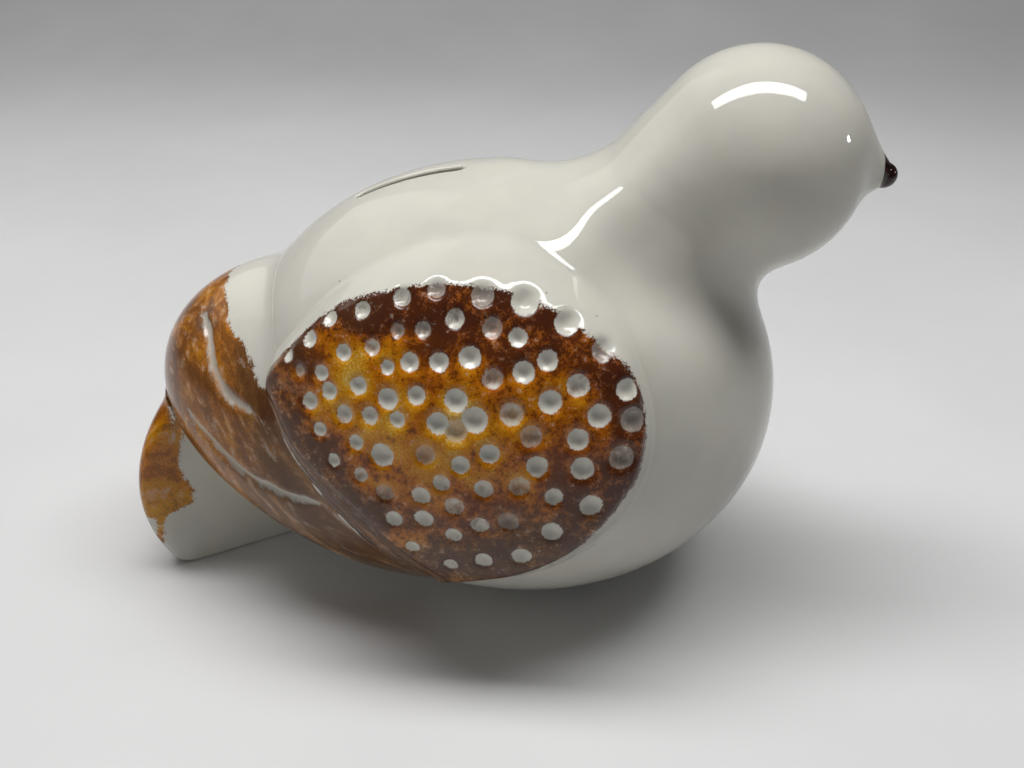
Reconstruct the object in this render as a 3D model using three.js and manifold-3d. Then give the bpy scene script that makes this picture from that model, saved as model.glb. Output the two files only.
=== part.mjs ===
// A glazed ceramic bird money box: a hollow egg-shaped body with a coin slot in the back,
// a round head, a beak, dimpled wing pads, feather bands round the rump, a fan tail that
// stands on the table, and a bung in the base.
// Millimetres, +X towards the beak, +Y the bird's left, +Z up, standing on z = 0.

import * as THREE from 'three';
import { mergeVertices } from 'three/addons/utils/BufferGeometryUtils.js';
import Module from 'manifold-3d';

// Body egg, in a frame whose x = 0 is the egg's middle
const BODY_HALF_LENGTH = 93.1;
const BODY_HALF_WIDTH = 72.5;
const BODY_HALF_HEIGHT = 76.6;
const BODY_CENTRE_Z = 73.4;
const BODY_TILT = -4.0;
const BODY_TAPER = 0.03;

// Rump, the long low form behind the egg that the feather bands wrap. Its middle is forward of
// the egg's rear end, and its sides are in from the egg's.
const RUMP_FORWARD = 53.6;
const RUMP_CENTRE_Z = 55.2;
const RUMP_HALF_LENGTH = 87.0;
const RUMP_SIDE_STEP = 16.9;
const RUMP_HALF_HEIGHT = 56.9;
const RUMP_TILT = -19.4;
const RUMP_BLEND = 4.0;

// Head and neck
const HEAD_RADIUS = 34.6;
const HEAD_FORWARD = 77.8;
const HEAD_CENTRE_Z = 154.0;
const NECK_ROOT_FORWARD = 20.0;
const NECK_ROOT_Z = 88.4;
const NECK_TOP_BACK = 21.8;
const NECK_TOP_DROP = 14.0;
const NECK_ROOT_RADIUS = 35.5;
const NECK_TOP_RADIUS = 27.3;
const NECK_BLEND = 18.0;
const NAPE_BLEND = 10.8;
const NECK_SEAM_SHARE = 0.69;

// Beak cone, from its root inside the head to the centre of its round tip
const BEAK_ROOT_IN = 12.0;
const BEAK_ROOT_RISE = 2.0;
const BEAK_ROOT_RADIUS = 14.0;
const BEAK_LENGTH = 9.6;
const BEAK_TIP_DROP = 3.8;
const BEAK_TIP_RADIUS = 4.0;
const BEAK_BLEND = 8.0;
const BEAK_SEAM_IN = 4.8;

// Fan tail, narrow under the belly and wide at its rounded rear, placed from the egg's rear end
const TAIL_APEX_FORWARD = 13.7;
const TAIL_HALF_ANGLE = 33.6;
const TAIL_CORNER_BLEND = 9.5;
const TAIL_REAR_CENTRE_FORWARD = 29.5;
const TAIL_REAR_CENTRE_Z = 29.9;
const TAIL_REAR_RADIUS = 70.8;
const TAIL_REAR_STRETCH = 1.08;
const TAIL_REAR_CROWN = 0.6;
const TAIL_DRAIN_RADIUS = 9.0;
const TAIL_DRAIN_FROM_REAR = 20.0;

// Clay thicknesses and fits
const WALL = 5.0;
const FEATHER_THICKNESS = 3.0;
const PAD_THICKNESS = 4.5;
const PAD_RIM_THICKNESS = 1.0;
const PAD_SINK = 2.0;
const JOINT_GAP = 0.3;

// Coin slot, cut straight down through the back
const SLOT_LENGTH = 36.0;
const SLOT_WIDTH = 4.6;
const SLOT_BACK = 31.8;

// Foot, filling hole and bung
const FOOT_RADIUS = 26.0;
const FOOT_HEIGHT = 6.0;
const FOOT_EDGE = 1.5;
const HOLE_RADIUS = 14.5;
const HOLE_FLARE = 1.0;
const HOLE_OVER_BUNG = 4.0;
const BUNG_CLEARANCE = 0.3;
const BUNG_RECESS = 1.5;
const BUNG_HEIGHT = 16.0;
const BUNG_GRIP_RADIUS = 7.5;
const BUNG_GRIP_DEPTH = 5.0;
const BUNG_EDGE = 1.0;

// Side view of a wing pad on the egg, from its rear point over the top: how far forward of the
// egg's centre and above it, as shares of the egg's half length and half height
const PAD_OUTLINE_SHARES = [
  [-0.7841, 0.2689], [-0.5693, 0.5953], [-0.3545, 0.7781], [-0.0859, 0.8760], [0.1826, 0.8303],
  [0.4082, 0.6084], [0.5263, 0.2950], [0.5156, 0.0078], [0.3867, -0.2794], [0.1289, -0.5144],
  [-0.1504, -0.6057], [-0.3545, -0.5274], [-0.5371, -0.2402], [-0.6982, 0.0601],
];
const PAD_CENTRE_SHARES = [-0.0859, 0.1384];
const PAD_RIM_POINTS = 40;
const PAD_RINGS = [0.25, 0.5, 0.78, 0.9, 1];
const PAD_RIM_STARTS = 0.78;

// The pits pressed into a wing pad: how far forward of the egg's centre and above it, and their
// radius, as shares of the egg's half length, half height and half height
const PIT_SHARES = [
  [-0.2632, 0.6932, 0.0395], [-0.1568, 0.7298, 0.0395], [-0.0140, 0.7232, 0.0468],
  [0.1139, 0.7089, 0.0526], [0.2406, 0.6423, 0.0468], [0.3523, 0.5509, 0.0468],
  [0.4307, 0.4164, 0.0424], [0.4533, 0.3081, 0.0512], [0.4264, 0.1697, 0.0512],
  [0.3104, 0.1358, 0.0483], [0.3394, -0.0222, 0.0468], [0.2202, -0.1436, 0.0439],
  [0.1235, -0.2768, 0.0424], [-0.0011, -0.3172, 0.0395], [-0.1139, -0.3708, 0.0336],
  [-0.3899, 0.6345, 0.0380], [-0.2739, 0.5940, 0.0336], [-0.1933, 0.6084, 0.0366],
  [-0.0945, 0.6514, 0.0409], [0.0204, 0.6332, 0.0439], [0.0999, 0.6044, 0.0380],
  [0.1912, 0.5313, 0.0409], [0.2857, 0.4452, 0.0468], [0.3534, 0.3342, 0.0468],
  [0.2932, 0.2520, 0.0439], [0.1719, 0.1501, 0.0453], [0.2245, 0.0196, 0.0395],
  [0.0827, -0.1005, 0.0468], [-0.0086, -0.1292, 0.0409], [-0.0977, -0.1958, 0.0380],
  [-0.2374, -0.2872, 0.0336], [-0.4995, 0.5822, 0.0351], [-0.5682, 0.4974, 0.0351],
  [-0.4501, 0.4869, 0.0351], [-0.3555, 0.5261, 0.0366], [-0.2320, 0.4987, 0.0395],
  [-0.1396, 0.5117, 0.0409], [-0.0440, 0.5366, 0.0439], [0.0279, 0.4700, 0.0439],
  [0.1214, 0.4948, 0.0439], [0.2052, 0.3930, 0.0468], [0.1515, 0.2676, 0.0468],
  [0.0236, 0.1971, 0.0424], [0.1171, 0.0653, 0.0453], [0.0054, 0.0470, 0.0424],
  [-0.0902, -0.0457, 0.0439], [-0.1923, -0.1266, 0.0409], [-0.2922, -0.1488, 0.0395],
  [-0.6509, 0.4112, 0.0307], [-0.6047, 0.3760, 0.0292], [-0.5285, 0.3956, 0.0351],
  [-0.3040, 0.4700, 0.0336], [-0.3996, 0.3851, 0.0380], [-0.3008, 0.3603, 0.0453],
  [-0.2084, 0.3890, 0.0395], [-0.0827, 0.3877, 0.0468], [0.0892, 0.3486, 0.0497],
  [-0.0236, 0.3225, 0.0526], [-0.0816, 0.2742, 0.0497], [-0.1386, 0.2977, 0.0468],
  [-0.2696, 0.2911, 0.0366], [-0.3620, 0.2846, 0.0395], [-0.4501, 0.2663, 0.0409],
  [-0.5027, 0.3381, 0.0380], [-0.5736, 0.2755, 0.0395], [-0.5371, 0.1762, 0.0322],
  [-0.4103, 0.1658, 0.0351], [-0.3222, 0.1358, 0.0497], [-0.1783, 0.1684, 0.0453],
  [-0.0677, 0.1436, 0.0395], [-0.1300, 0.0561, 0.0395], [-0.1976, -0.0144, 0.0409],
  [-0.3190, -0.0287, 0.0409], [-0.3974, 0.0313, 0.0351], [-0.4876, 0.0666, 0.0292],
];
const PIT_DEPTH_SHARE = 0.5;
const PIT_FLOOR_SHARE = 0.5;

// The line in side view under which the feather bands end: forward of the egg's rear end and up
const FEATHER_EDGE_REAR = [-28.9, 66];
const FEATHER_EDGE_FRONT = [51.1, 8];
const FEATHER_LOWEST_Z = 8;

// Mesh: columns round a form and rows along it, for outsides and hollows
const BODY_MESH = [44, 24];
const BODY_HOLLOW_MESH = [32, 16];
const HEAD_MESH = [36, 22];
const HEAD_HOLLOW_MESH = [24, 14];
const BEAK_MESH = [28, 14];
const FEATHERS_MESH = [40, 24];
const TAIL_MESH = [36, 20];
const TAIL_HOLLOW_MESH = [20, 12];
const CAP_ROWS = 2;
const FOOT_SIDES = 40;
const BUNG_SIDES = 32;
const DRAIN_SIDES = 16;
const PIT_SIDES = 6;
const SLOT_END_SIDES = 6;
const HALVINGS = 24;
const RAY_STEP = 2;
const SLOPE_STEP = 0.05;

// Longer than the bird in any direction
const BEYOND = 400;

// A point in the body, back from the egg's middle and down from its centre, that sees all of it
const INSIDE_BACK = 15;
const INSIDE_DROP = 5;

const wasm = await Module();
wasm.setup();

const radians = THREE.MathUtils.degToRad;
const rearX = -BODY_HALF_LENGTH;
const rumpX = rearX + RUMP_FORWARD;
const rumpHalfWidth = BODY_HALF_WIDTH - RUMP_SIDE_STEP;
const headCentre = new THREE.Vector3(HEAD_FORWARD, 0, HEAD_CENTRE_Z);
const neckRoot = new THREE.Vector3(NECK_ROOT_FORWARD, 0, NECK_ROOT_Z);
const neckTop = new THREE.Vector3(HEAD_FORWARD - NECK_TOP_BACK, 0, HEAD_CENTRE_Z - NECK_TOP_DROP);
const beakRoot = new THREE.Vector3(
  HEAD_FORWARD + HEAD_RADIUS - BEAK_ROOT_IN, 0, HEAD_CENTRE_Z + BEAK_ROOT_RISE);
const beakTip = new THREE.Vector3(
  HEAD_FORWARD + HEAD_RADIUS - BEAK_TIP_RADIUS + BEAK_LENGTH, 0, HEAD_CENTRE_Z - BEAK_TIP_DROP);
const bodyInside = new THREE.Vector3(-INSIDE_BACK, 0, BODY_CENTRE_Z - INSIDE_DROP);
const beakTipX = beakTip.x + BEAK_TIP_RADIUS;
const tailApexX = rearX + TAIL_APEX_FORWARD;
const tailRearCentreX = rearX + TAIL_REAR_CENTRE_FORWARD;
const tailRearX = tailRearCentreX - TAIL_REAR_RADIUS;
const originX = (beakTipX + tailRearX) / 2;

// Distance fields: negative inside, close to millimetres near the surface

function smoothMin(a, b, blend) {
  const h = Math.max(blend - Math.abs(a - b), 0) / blend;
  return Math.min(a, b) - h * h * blend * 0.25;
}

function smoothMax(a, b, blend) {
  return -smoothMin(-a, -b, blend);
}

function ellipsoid(x, y, z, a, b, c) {
  const k0 = Math.hypot(x / a, y / b, z / c);
  const k1 = Math.hypot(x / (a * a), y / (b * b), z / (c * c));
  return k0 * (k0 - 1) / Math.max(k1, 1e-9);
}

function cone(p, start, end, startRadius, endRadius) {
  const axis = end.clone().sub(start);
  const t = THREE.MathUtils.clamp(p.clone().sub(start).dot(axis) / axis.lengthSq(), 0, 1);
  const nearest = start.clone().addScaledVector(axis, t);
  return p.distanceTo(nearest) - THREE.MathUtils.lerp(startRadius, endRadius, t);
}

function egg(p) {
  const c = Math.cos(radians(BODY_TILT));
  const s = Math.sin(radians(BODY_TILT));
  const along = c * p.x + s * (p.z - BODY_CENTRE_Z);
  const up = -s * p.x + c * (p.z - BODY_CENTRE_Z);
  const taper = THREE.MathUtils.clamp(1 + BODY_TAPER * along / BODY_HALF_LENGTH, 0.5, 1.5);
  return ellipsoid(along, p.y / taper, up / taper,
    BODY_HALF_LENGTH, BODY_HALF_WIDTH, BODY_HALF_HEIGHT);
}

function rump(p, inset = 0) {
  const c = Math.cos(radians(RUMP_TILT));
  const s = Math.sin(radians(RUMP_TILT));
  const along = c * (p.x - rumpX) + s * (p.z - RUMP_CENTRE_Z);
  const up = -s * (p.x - rumpX) + c * (p.z - RUMP_CENTRE_Z);
  return ellipsoid(along, p.y, up,
    RUMP_HALF_LENGTH - inset, rumpHalfWidth - inset, RUMP_HALF_HEIGHT - inset);
}

function torso(p) {
  return smoothMin(egg(p), rump(p, FEATHER_THICKNESS + JOINT_GAP), RUMP_BLEND);
}

function headAndNeck(p) {
  const ball = p.distanceTo(headCentre) - HEAD_RADIUS;
  const neck = cone(p, neckRoot, neckTop, NECK_ROOT_RADIUS, NECK_TOP_RADIUS);
  return smoothMin(ball, neck, NAPE_BLEND);
}

function bodyForm(p) {
  return smoothMin(headAndNeck(p), torso(p), NECK_BLEND);
}

function headForm(p) {
  const beak = cone(p, beakRoot, beakTip, BEAK_ROOT_RADIUS, BEAK_TIP_RADIUS);
  return smoothMin(bodyForm(p), beak, BEAK_BLEND);
}

function tailForm(p) {
  const half = radians(TAIL_HALF_ANGLE);
  const side = Math.cos(half) * Math.abs(p.y) - Math.sin(half) * (tailApexX - p.x);
  const rear = Math.hypot(p.x - tailRearCentreX, p.y * TAIL_REAR_CROWN,
    (p.z - TAIL_REAR_CENTRE_Z) * TAIL_REAR_STRETCH) - TAIL_REAR_RADIUS;
  return smoothMax(side, rear, TAIL_CORNER_BLEND);
}

// Seam between head and body: square to the neck, through the nape and the throat
const neckAxis = headCentre.clone().sub(neckRoot).normalize();
const neckSeam = neckRoot.clone().lerp(headCentre, NECK_SEAM_SHARE);

// Solids

function toSolid(geometry) {
  const bare = geometry.clone();
  bare.deleteAttribute('normal');
  bare.deleteAttribute('uv');
  const merged = mergeVertices(bare, 1e-4);
  return new wasm.Manifold(new wasm.Mesh({
    numProp: 3,
    vertProperties: new Float32Array(merged.attributes.position.array),
    triVerts: new Uint32Array(merged.index.array),
  }));
}

function toGeometry(solid) {
  const mesh = solid.getMesh();
  const geometry = new THREE.BufferGeometry();
  geometry.setAttribute('position', new THREE.BufferAttribute(mesh.vertProperties, 3));
  geometry.setIndex(new THREE.BufferAttribute(mesh.triVerts, 1));
  geometry.computeVertexNormals();
  return geometry;
}

// Where a straight line from a start point first leaves the field
function leaveAt(field, start, direction) {
  const p = new THREE.Vector3();
  let near = 0;
  let far = RAY_STEP;
  while (far < BEYOND && field(p.copy(start).addScaledVector(direction, far)) < 0) {
    near = far;
    far += RAY_STEP;
  }
  for (let i = 0; i < HALVINGS; i++) {
    const middle = (near + far) / 2;
    if (field(p.copy(start).addScaledVector(direction, middle)) < 0) near = middle;
    else far = middle;
  }
  return start.clone().addScaledVector(direction, near);
}

// The direction in which a field grows fastest
function uphill(field, p) {
  const step = axis => new THREE.Vector3().setComponent(axis, SLOPE_STEP);
  return new THREE.Vector3(...[0, 1, 2].map(
    axis => field(p.clone().add(step(axis))) - field(p.clone().sub(step(axis))))).normalize();
}

// A closed form drawn out from a point inside a field until it meets the surface. Its columns
// run round the pole direction. A cap, a point and a normal, cuts it flat, and one row of its
// points follows the cut's rim.
function formSolid(field, inside, pole, [columns, rows], cap = null) {
  const across = new THREE.Vector3(0, 1, 0);
  const upward = across.clone().cross(pole).normalize();
  const beyondCap = p => (cap ? p.clone().sub(cap.point).dot(cap.normal) : -1);
  const capped = p => Math.max(field(p), beyondCap(p));
  const ray = (turn, tilt) => pole.clone().multiplyScalar(Math.cos(tilt))
    .addScaledVector(upward, Math.sin(tilt) * Math.cos(turn))
    .addScaledVector(across, Math.sin(tilt) * Math.sin(turn));
  const rimTilt = turn => {
    let low = 0;
    let high = Math.PI / 2;
    for (let i = 0; i < HALVINGS; i++) {
      const tilt = (low + high) / 2;
      if (beyondCap(leaveAt(field, inside, ray(turn, tilt))) > 0) low = tilt;
      else high = tilt;
    }
    return high;
  };
  const points = [leaveAt(capped, inside, pole)];
  const faces = [];
  let rings = 0;
  for (let column = 0; column < columns; column++) {
    const turn = 2 * Math.PI * column / columns;
    const rim = cap ? rimTilt(turn) : 0;
    const tilts = [];
    for (let row = 1; cap && row <= CAP_ROWS; row++) tilts.push(rim * row / CAP_ROWS);
    for (let row = 1; row < rows; row++) tilts.push(rim + (Math.PI - rim) * row / rows);
    rings = tilts.length;
    for (const tilt of tilts) points.push(leaveAt(capped, inside, ray(turn, tilt)));
  }
  const last = points.length;
  points.push(leaveAt(capped, inside, pole.clone().negate()));
  for (let column = 0; column < columns; column++) {
    const here = 1 + column * rings;
    const next = 1 + ((column + 1) % columns) * rings;
    faces.push(0, here, next);
    for (let row = 0; row < rings - 1; row++) {
      faces.push(here + row, here + row + 1, next + row);
      faces.push(next + row, here + row + 1, next + row + 1);
    }
    faces.push(here + rings - 1, last, next + rings - 1);
  }
  const geometry = new THREE.BufferGeometry().setFromPoints(points);
  geometry.setIndex(faces);
  return toSolid(geometry);
}

// Everything on the far side of a plane, as a large block
function halfSpace(point, normal) {
  const turn = new THREE.Quaternion().setFromUnitVectors(new THREE.Vector3(0, 0, 1), normal);
  const middle = point.clone().addScaledVector(normal, BEYOND / 2);
  const block = new THREE.BoxGeometry(BEYOND, BEYOND, BEYOND).applyQuaternion(turn);
  return toSolid(block.translate(middle.x, middle.y, middle.z));
}

function rodSolid(start, end, startRadius, endRadius, sides) {
  const along = end.clone().sub(start);
  const length = along.length();
  const turn = new THREE.Quaternion().setFromUnitVectors(
    new THREE.Vector3(0, 1, 0), along.normalize());
  const middle = start.clone().add(end).multiplyScalar(0.5);
  const rod = new THREE.CylinderGeometry(endRadius, startRadius, length, sides);
  return toSolid(rod.applyQuaternion(turn).translate(middle.x, middle.y, middle.z));
}

const up = new THREE.Vector3(0, 0, 1);
const down = new THREE.Vector3(0, 0, -1);
const ground = halfSpace(new THREE.Vector3(0, 0, 0), down);
const halfGap = JOINT_GAP / 2;

// Body: outer form, coin space, foot, slot, filling hole and the seam between back and belly
const neckPole = neckSeam.clone().sub(bodyInside).normalize();
const neckCut = (shift, flip) => ({
  point: neckSeam.clone().addScaledVector(neckAxis, shift),
  normal: neckAxis.clone().multiplyScalar(flip),
});
const bodyOuter = formSolid(bodyForm, bodyInside, neckPole, BODY_MESH, neckCut(-halfGap, 1));
const bodyHollow = formSolid(
  p => Math.max(bodyForm(p) + WALL, WALL - p.z), bodyInside, neckPole, BODY_HOLLOW_MESH,
  neckCut(WALL, 1));

const footSolid = clearance => toSolid(new THREE.LatheGeometry([
  new THREE.Vector2(0, -clearance),
  new THREE.Vector2(FOOT_RADIUS - FOOT_EDGE + clearance, -clearance),
  new THREE.Vector2(FOOT_RADIUS + clearance, FOOT_EDGE),
  new THREE.Vector2(FOOT_RADIUS + clearance, FOOT_HEIGHT),
  new THREE.Vector2(0, FOOT_HEIGHT),
], FOOT_SIDES).rotateX(Math.PI / 2));
const foot = footSolid(0);
const bodyClearance = formSolid(
  p => bodyForm(p) - JOINT_GAP, bodyInside, neckPole, BODY_MESH, neckCut(-halfGap, 1))
  .add(footSolid(JOINT_GAP));

const slotMiddle = new THREE.Vector3(-SLOT_BACK, 0, BODY_CENTRE_Z + BODY_HALF_HEIGHT);
const slotShape = new THREE.Shape();
const slotStraight = SLOT_LENGTH / 2 - SLOT_WIDTH / 2;
slotShape.absarc(slotStraight, 0, SLOT_WIDTH / 2, -Math.PI / 2, Math.PI / 2);
slotShape.absarc(-slotStraight, 0, SLOT_WIDTH / 2, Math.PI / 2, 1.5 * Math.PI);
const slotDepth = BODY_HALF_HEIGHT;
const coinSlot = toSolid(new THREE.ExtrudeGeometry(slotShape, {
  depth: slotDepth, bevelEnabled: false, curveSegments: SLOT_END_SIDES,
}).translate(slotMiddle.x, 0, slotMiddle.z - slotDepth / 2));

const holeTop = BUNG_HEIGHT + HOLE_OVER_BUNG;
const fillingHole = rodSolid(new THREE.Vector3(0, 0, -1), new THREE.Vector3(0, 0, holeTop),
  HOLE_RADIUS + HOLE_FLARE, HOLE_RADIUS, BUNG_SIDES);

const tailDrainStart = new THREE.Vector3(rumpX, 0, TAIL_REAR_CENTRE_Z);
const tailDrainEnd = new THREE.Vector3(tailRearX + TAIL_DRAIN_FROM_REAR, 0, TAIL_REAR_CENTRE_Z);
const tailDrain = rodSolid(tailDrainStart, tailDrainEnd, TAIL_DRAIN_RADIUS, TAIL_DRAIN_RADIUS,
  DRAIN_SIDES);

const bodyWall = bodyOuter
  .subtract(ground)
  .add(foot)
  .subtract(bodyHollow)
  .subtract(coinSlot)
  .subtract(fillingHole)
  .subtract(tailDrain);
const seamPoint = new THREE.Vector3(0, 0, BODY_CENTRE_Z);
const backShell = bodyWall.subtract(halfSpace(seamPoint.clone().addScaledVector(up, halfGap), down));
const bellyShell = bodyWall.subtract(halfSpace(seamPoint.clone().addScaledVector(up, -halfGap), up));

// Head and beak: one hollow ball with the neck, and the beak cap on its front
const beakAxis = new THREE.Vector3(1, 0, 0);
const beakSeam = new THREE.Vector3(HEAD_FORWARD + HEAD_RADIUS - BEAK_SEAM_IN, 0, HEAD_CENTRE_Z);
const headPole = neckSeam.clone().sub(headCentre).normalize();
const headOuter = formSolid(headForm, headCentre, headPole, HEAD_MESH, neckCut(halfGap, -1));
const headHollow = formSolid(
  p => bodyForm(p) + WALL, headCentre, headPole, HEAD_HOLLOW_MESH, neckCut(-WALL, -1));
const headShell = headOuter
  .subtract(halfSpace(beakSeam.clone().addScaledVector(beakAxis, -halfGap), beakAxis))
  .subtract(headHollow);
const beakInside = beakSeam.clone().lerp(beakTip, 0.2);
const beakBack = beakAxis.clone().negate();
const beakCut = { point: beakSeam.clone().addScaledVector(beakAxis, halfGap), normal: beakBack };
const beakSolid = formSolid(headForm, beakInside, beakBack, BEAK_MESH, beakCut).subtract(headHollow);

// Feather bands: the rump's own surface, laid over the body wall and parted along the middle
const rumpInside = new THREE.Vector3(rumpX, 0, RUMP_CENTRE_Z);
const featherEdgePoint = new THREE.Vector3(
  rearX + FEATHER_EDGE_REAR[0], 0, FEATHER_EDGE_REAR[1]);
const featherEdgeRun = new THREE.Vector3(
  FEATHER_EDGE_FRONT[0] - FEATHER_EDGE_REAR[0], 0, FEATHER_EDGE_FRONT[1] - FEATHER_EDGE_REAR[1]);
const featherEdgeDown = new THREE.Vector3(featherEdgeRun.z, 0, -featherEdgeRun.x).normalize();
const rumpPole = new THREE.Vector3(-Math.cos(radians(RUMP_TILT)), 0, -Math.sin(radians(RUMP_TILT)));
const underFeathers = clearance => halfSpace(
  featherEdgePoint.clone().addScaledVector(featherEdgeDown, clearance), featherEdgeDown)
  .add(halfSpace(new THREE.Vector3(0, 0, FEATHER_LOWEST_Z - clearance), down));
const feathers = formSolid(p => rump(p), rumpInside, rumpPole, FEATHERS_MESH)
  .subtract(bodyClearance)
  .subtract(underFeathers(0));
const feathersClearance = formSolid(p => rump(p) - JOINT_GAP, rumpInside, rumpPole, FEATHERS_MESH)
  .subtract(underFeathers(JOINT_GAP));
const middle = new THREE.Vector3(0, 0, 0);
const toLeft = new THREE.Vector3(0, 1, 0);
const toRight = new THREE.Vector3(0, -1, 0);
const feathersLeft = feathers.subtract(halfSpace(middle.clone().addScaledVector(toLeft, halfGap), toRight));
const feathersRight = feathers.subtract(halfSpace(middle.clone().addScaledVector(toRight, halfGap), toLeft));

// Tail: a fan-shaped wedge, hollow, draining into the body
const tailInside = new THREE.Vector3(tailRearX + TAIL_REAR_RADIUS / 3, 0, TAIL_REAR_CENTRE_Z);
const tailPole = new THREE.Vector3(1, 0, 0);
const tailOuter = formSolid(tailForm, tailInside, tailPole, TAIL_MESH);
const tailHollow = formSolid(
  p => Math.max(tailForm(p) + WALL, WALL + JOINT_GAP - rump(p), WALL - p.z),
  tailInside, tailPole, TAIL_HOLLOW_MESH);
const tail = tailOuter
  .subtract(ground)
  .subtract(bodyClearance)
  .subtract(feathersClearance)
  .subtract(tailHollow)
  .subtract(tailDrain);

// Wing pads: a low dome on the body inside the pad's outline, with pits pressed into it
function padSolid(side) {
  const onSide = ([forward, up]) => new THREE.Vector3(
    forward * BODY_HALF_LENGTH, 0, BODY_CENTRE_Z + up * BODY_HALF_HEIGHT);
  const outline = new THREE.CatmullRomCurve3(PAD_OUTLINE_SHARES.map(onSide), true);
  const centre = onSide(PAD_CENTRE_SHARES);
  const rim = outline.getSpacedPoints(PAD_RIM_POINTS).slice(0, PAD_RIM_POINTS);
  const outward = new THREE.Vector3(0, side, 0);
  const onBody = (x, z, proud) =>
    leaveAt(p => bodyForm(p) - proud, new THREE.Vector3(x, 0, z), outward);
  const points = [];
  const faces = [];
  const layer = dome => {
    const first = points.length;
    points.push(onBody(centre.x, centre.z, dome(0)));
    for (const share of PAD_RINGS) {
      for (const edge of rim) {
        const at = centre.clone().lerp(edge, share);
        points.push(onBody(at.x, at.z, dome(share)));
      }
    }
    return first;
  };
  const crown = share => THREE.MathUtils.lerp(
    PAD_THICKNESS, PAD_RIM_THICKNESS, THREE.MathUtils.smoothstep(share, PAD_RIM_STARTS, 1));
  const top = layer(crown);
  const bottom = layer(() => -PAD_SINK);
  const count = rim.length;
  const face = (a, b, c, flip) => faces.push(...(flip ? [a, c, b] : [a, b, c]));
  for (const [first, flip] of [[top, side > 0], [bottom, side < 0]]) {
    for (let i = 0; i < count; i++) {
      const j = (i + 1) % count;
      face(first, first + 1 + j, first + 1 + i, flip);
      for (let r = 0; r < PAD_RINGS.length - 1; r++) {
        const a = first + 1 + r * count;
        const b = a + count;
        face(a + i, a + j, b + i, flip);
        face(a + j, b + j, b + i, flip);
      }
    }
  }
  const topRim = top + 1 + (PAD_RINGS.length - 1) * count;
  const bottomRim = bottom + 1 + (PAD_RINGS.length - 1) * count;
  for (let i = 0; i < count; i++) {
    const j = (i + 1) % count;
    face(topRim + i, topRim + j, bottomRim + i, side > 0);
    face(topRim + j, bottomRim + j, bottomRim + i, side > 0);
  }
  const geometry = new THREE.BufferGeometry().setFromPoints(points);
  geometry.setIndex(faces);
  // How far out a point in side view is, from 0 at the pad's centre to 1 at its rim
  const shareAt = at => {
    const gone = at.clone().sub(centre);
    for (let i = 0; i < count; i++) {
      const a = rim[i].clone().sub(centre);
      const b = rim[(i + 1) % count].clone().sub(centre);
      const turn = a.x * b.z - a.z * b.x;
      const alongA = (gone.x * b.z - gone.z * b.x) / turn;
      const alongB = (a.x * gone.z - a.z * gone.x) / turn;
      if (alongA >= 0 && alongB >= 0) return alongA + alongB;
    }
    return 1;
  };
  const pits = PIT_SHARES.map(([forward, above, size]) => {
    const at = onSide([forward, above]);
    const mouth = onBody(at.x, at.z, crown(shareAt(at)));
    const radius = size * BODY_HALF_HEIGHT;
    const inward = uphill(bodyForm, mouth).multiplyScalar(-PIT_DEPTH_SHARE * radius);
    return rodSolid(mouth.clone().add(inward), mouth.clone().sub(inward),
      radius * PIT_FLOOR_SHARE, radius * (2 - PIT_FLOOR_SHARE), PIT_SIDES);
  });
  return toSolid(geometry)
    .subtract(bodyClearance)
    .subtract(feathersClearance)
    .subtract(wasm.Manifold.union(pits));
}

// Bung: a tapered rubber plug with a finger hollow below
const flareAt = z => HOLE_RADIUS + HOLE_FLARE * (1 - z / holeTop) - BUNG_CLEARANCE;
const bungTop = BUNG_RECESS + BUNG_HEIGHT;
const gripTop = BUNG_RECESS + BUNG_GRIP_DEPTH;
const bung = new THREE.LatheGeometry([
  new THREE.Vector2(0, gripTop),
  new THREE.Vector2(BUNG_GRIP_RADIUS - BUNG_EDGE, gripTop),
  new THREE.Vector2(BUNG_GRIP_RADIUS, gripTop - BUNG_EDGE),
  new THREE.Vector2(BUNG_GRIP_RADIUS, BUNG_RECESS),
  new THREE.Vector2(flareAt(BUNG_RECESS) - BUNG_EDGE, BUNG_RECESS),
  new THREE.Vector2(flareAt(BUNG_RECESS), BUNG_RECESS + BUNG_EDGE),
  new THREE.Vector2(flareAt(bungTop), bungTop - BUNG_EDGE),
  new THREE.Vector2(flareAt(bungTop) - BUNG_EDGE, bungTop),
  new THREE.Vector2(0, bungTop),
], BUNG_SIDES).rotateX(Math.PI / 2);

// The assembled bird

const clearGlaze = () => new THREE.MeshStandardMaterial({
  color: 0xe8e6dc, roughness: 0.12, metalness: 0,
});
const mottledGlaze = () => new THREE.MeshStandardMaterial({
  color: 0x8a5f35, roughness: 0.18, metalness: 0,
});
const rubber = () => new THREE.MeshStandardMaterial({
  color: 0x2b2a29, roughness: 0.75, metalness: 0,
});

const bird = new THREE.Group();
function addPiece(name, geometry, material) {
  const piece = new THREE.Mesh(geometry, material);
  piece.name = name;
  bird.add(piece);
}

addPiece('back_shell', toGeometry(backShell), clearGlaze());
addPiece('belly_shell', toGeometry(bellyShell), clearGlaze());
addPiece('head_shell', toGeometry(headShell), clearGlaze());
addPiece('beak', toGeometry(beakSolid), clearGlaze());
addPiece('wing_pad_left', toGeometry(padSolid(1)), mottledGlaze());
addPiece('wing_pad_right', toGeometry(padSolid(-1)), mottledGlaze());
addPiece('wing_feathers_left', toGeometry(feathersLeft), mottledGlaze());
addPiece('wing_feathers_right', toGeometry(feathersRight), mottledGlaze());
addPiece('tail', toGeometry(tail), clearGlaze());
addPiece('bung', bung, rubber());
bird.position.x = -originX;

export default bird;
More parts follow.
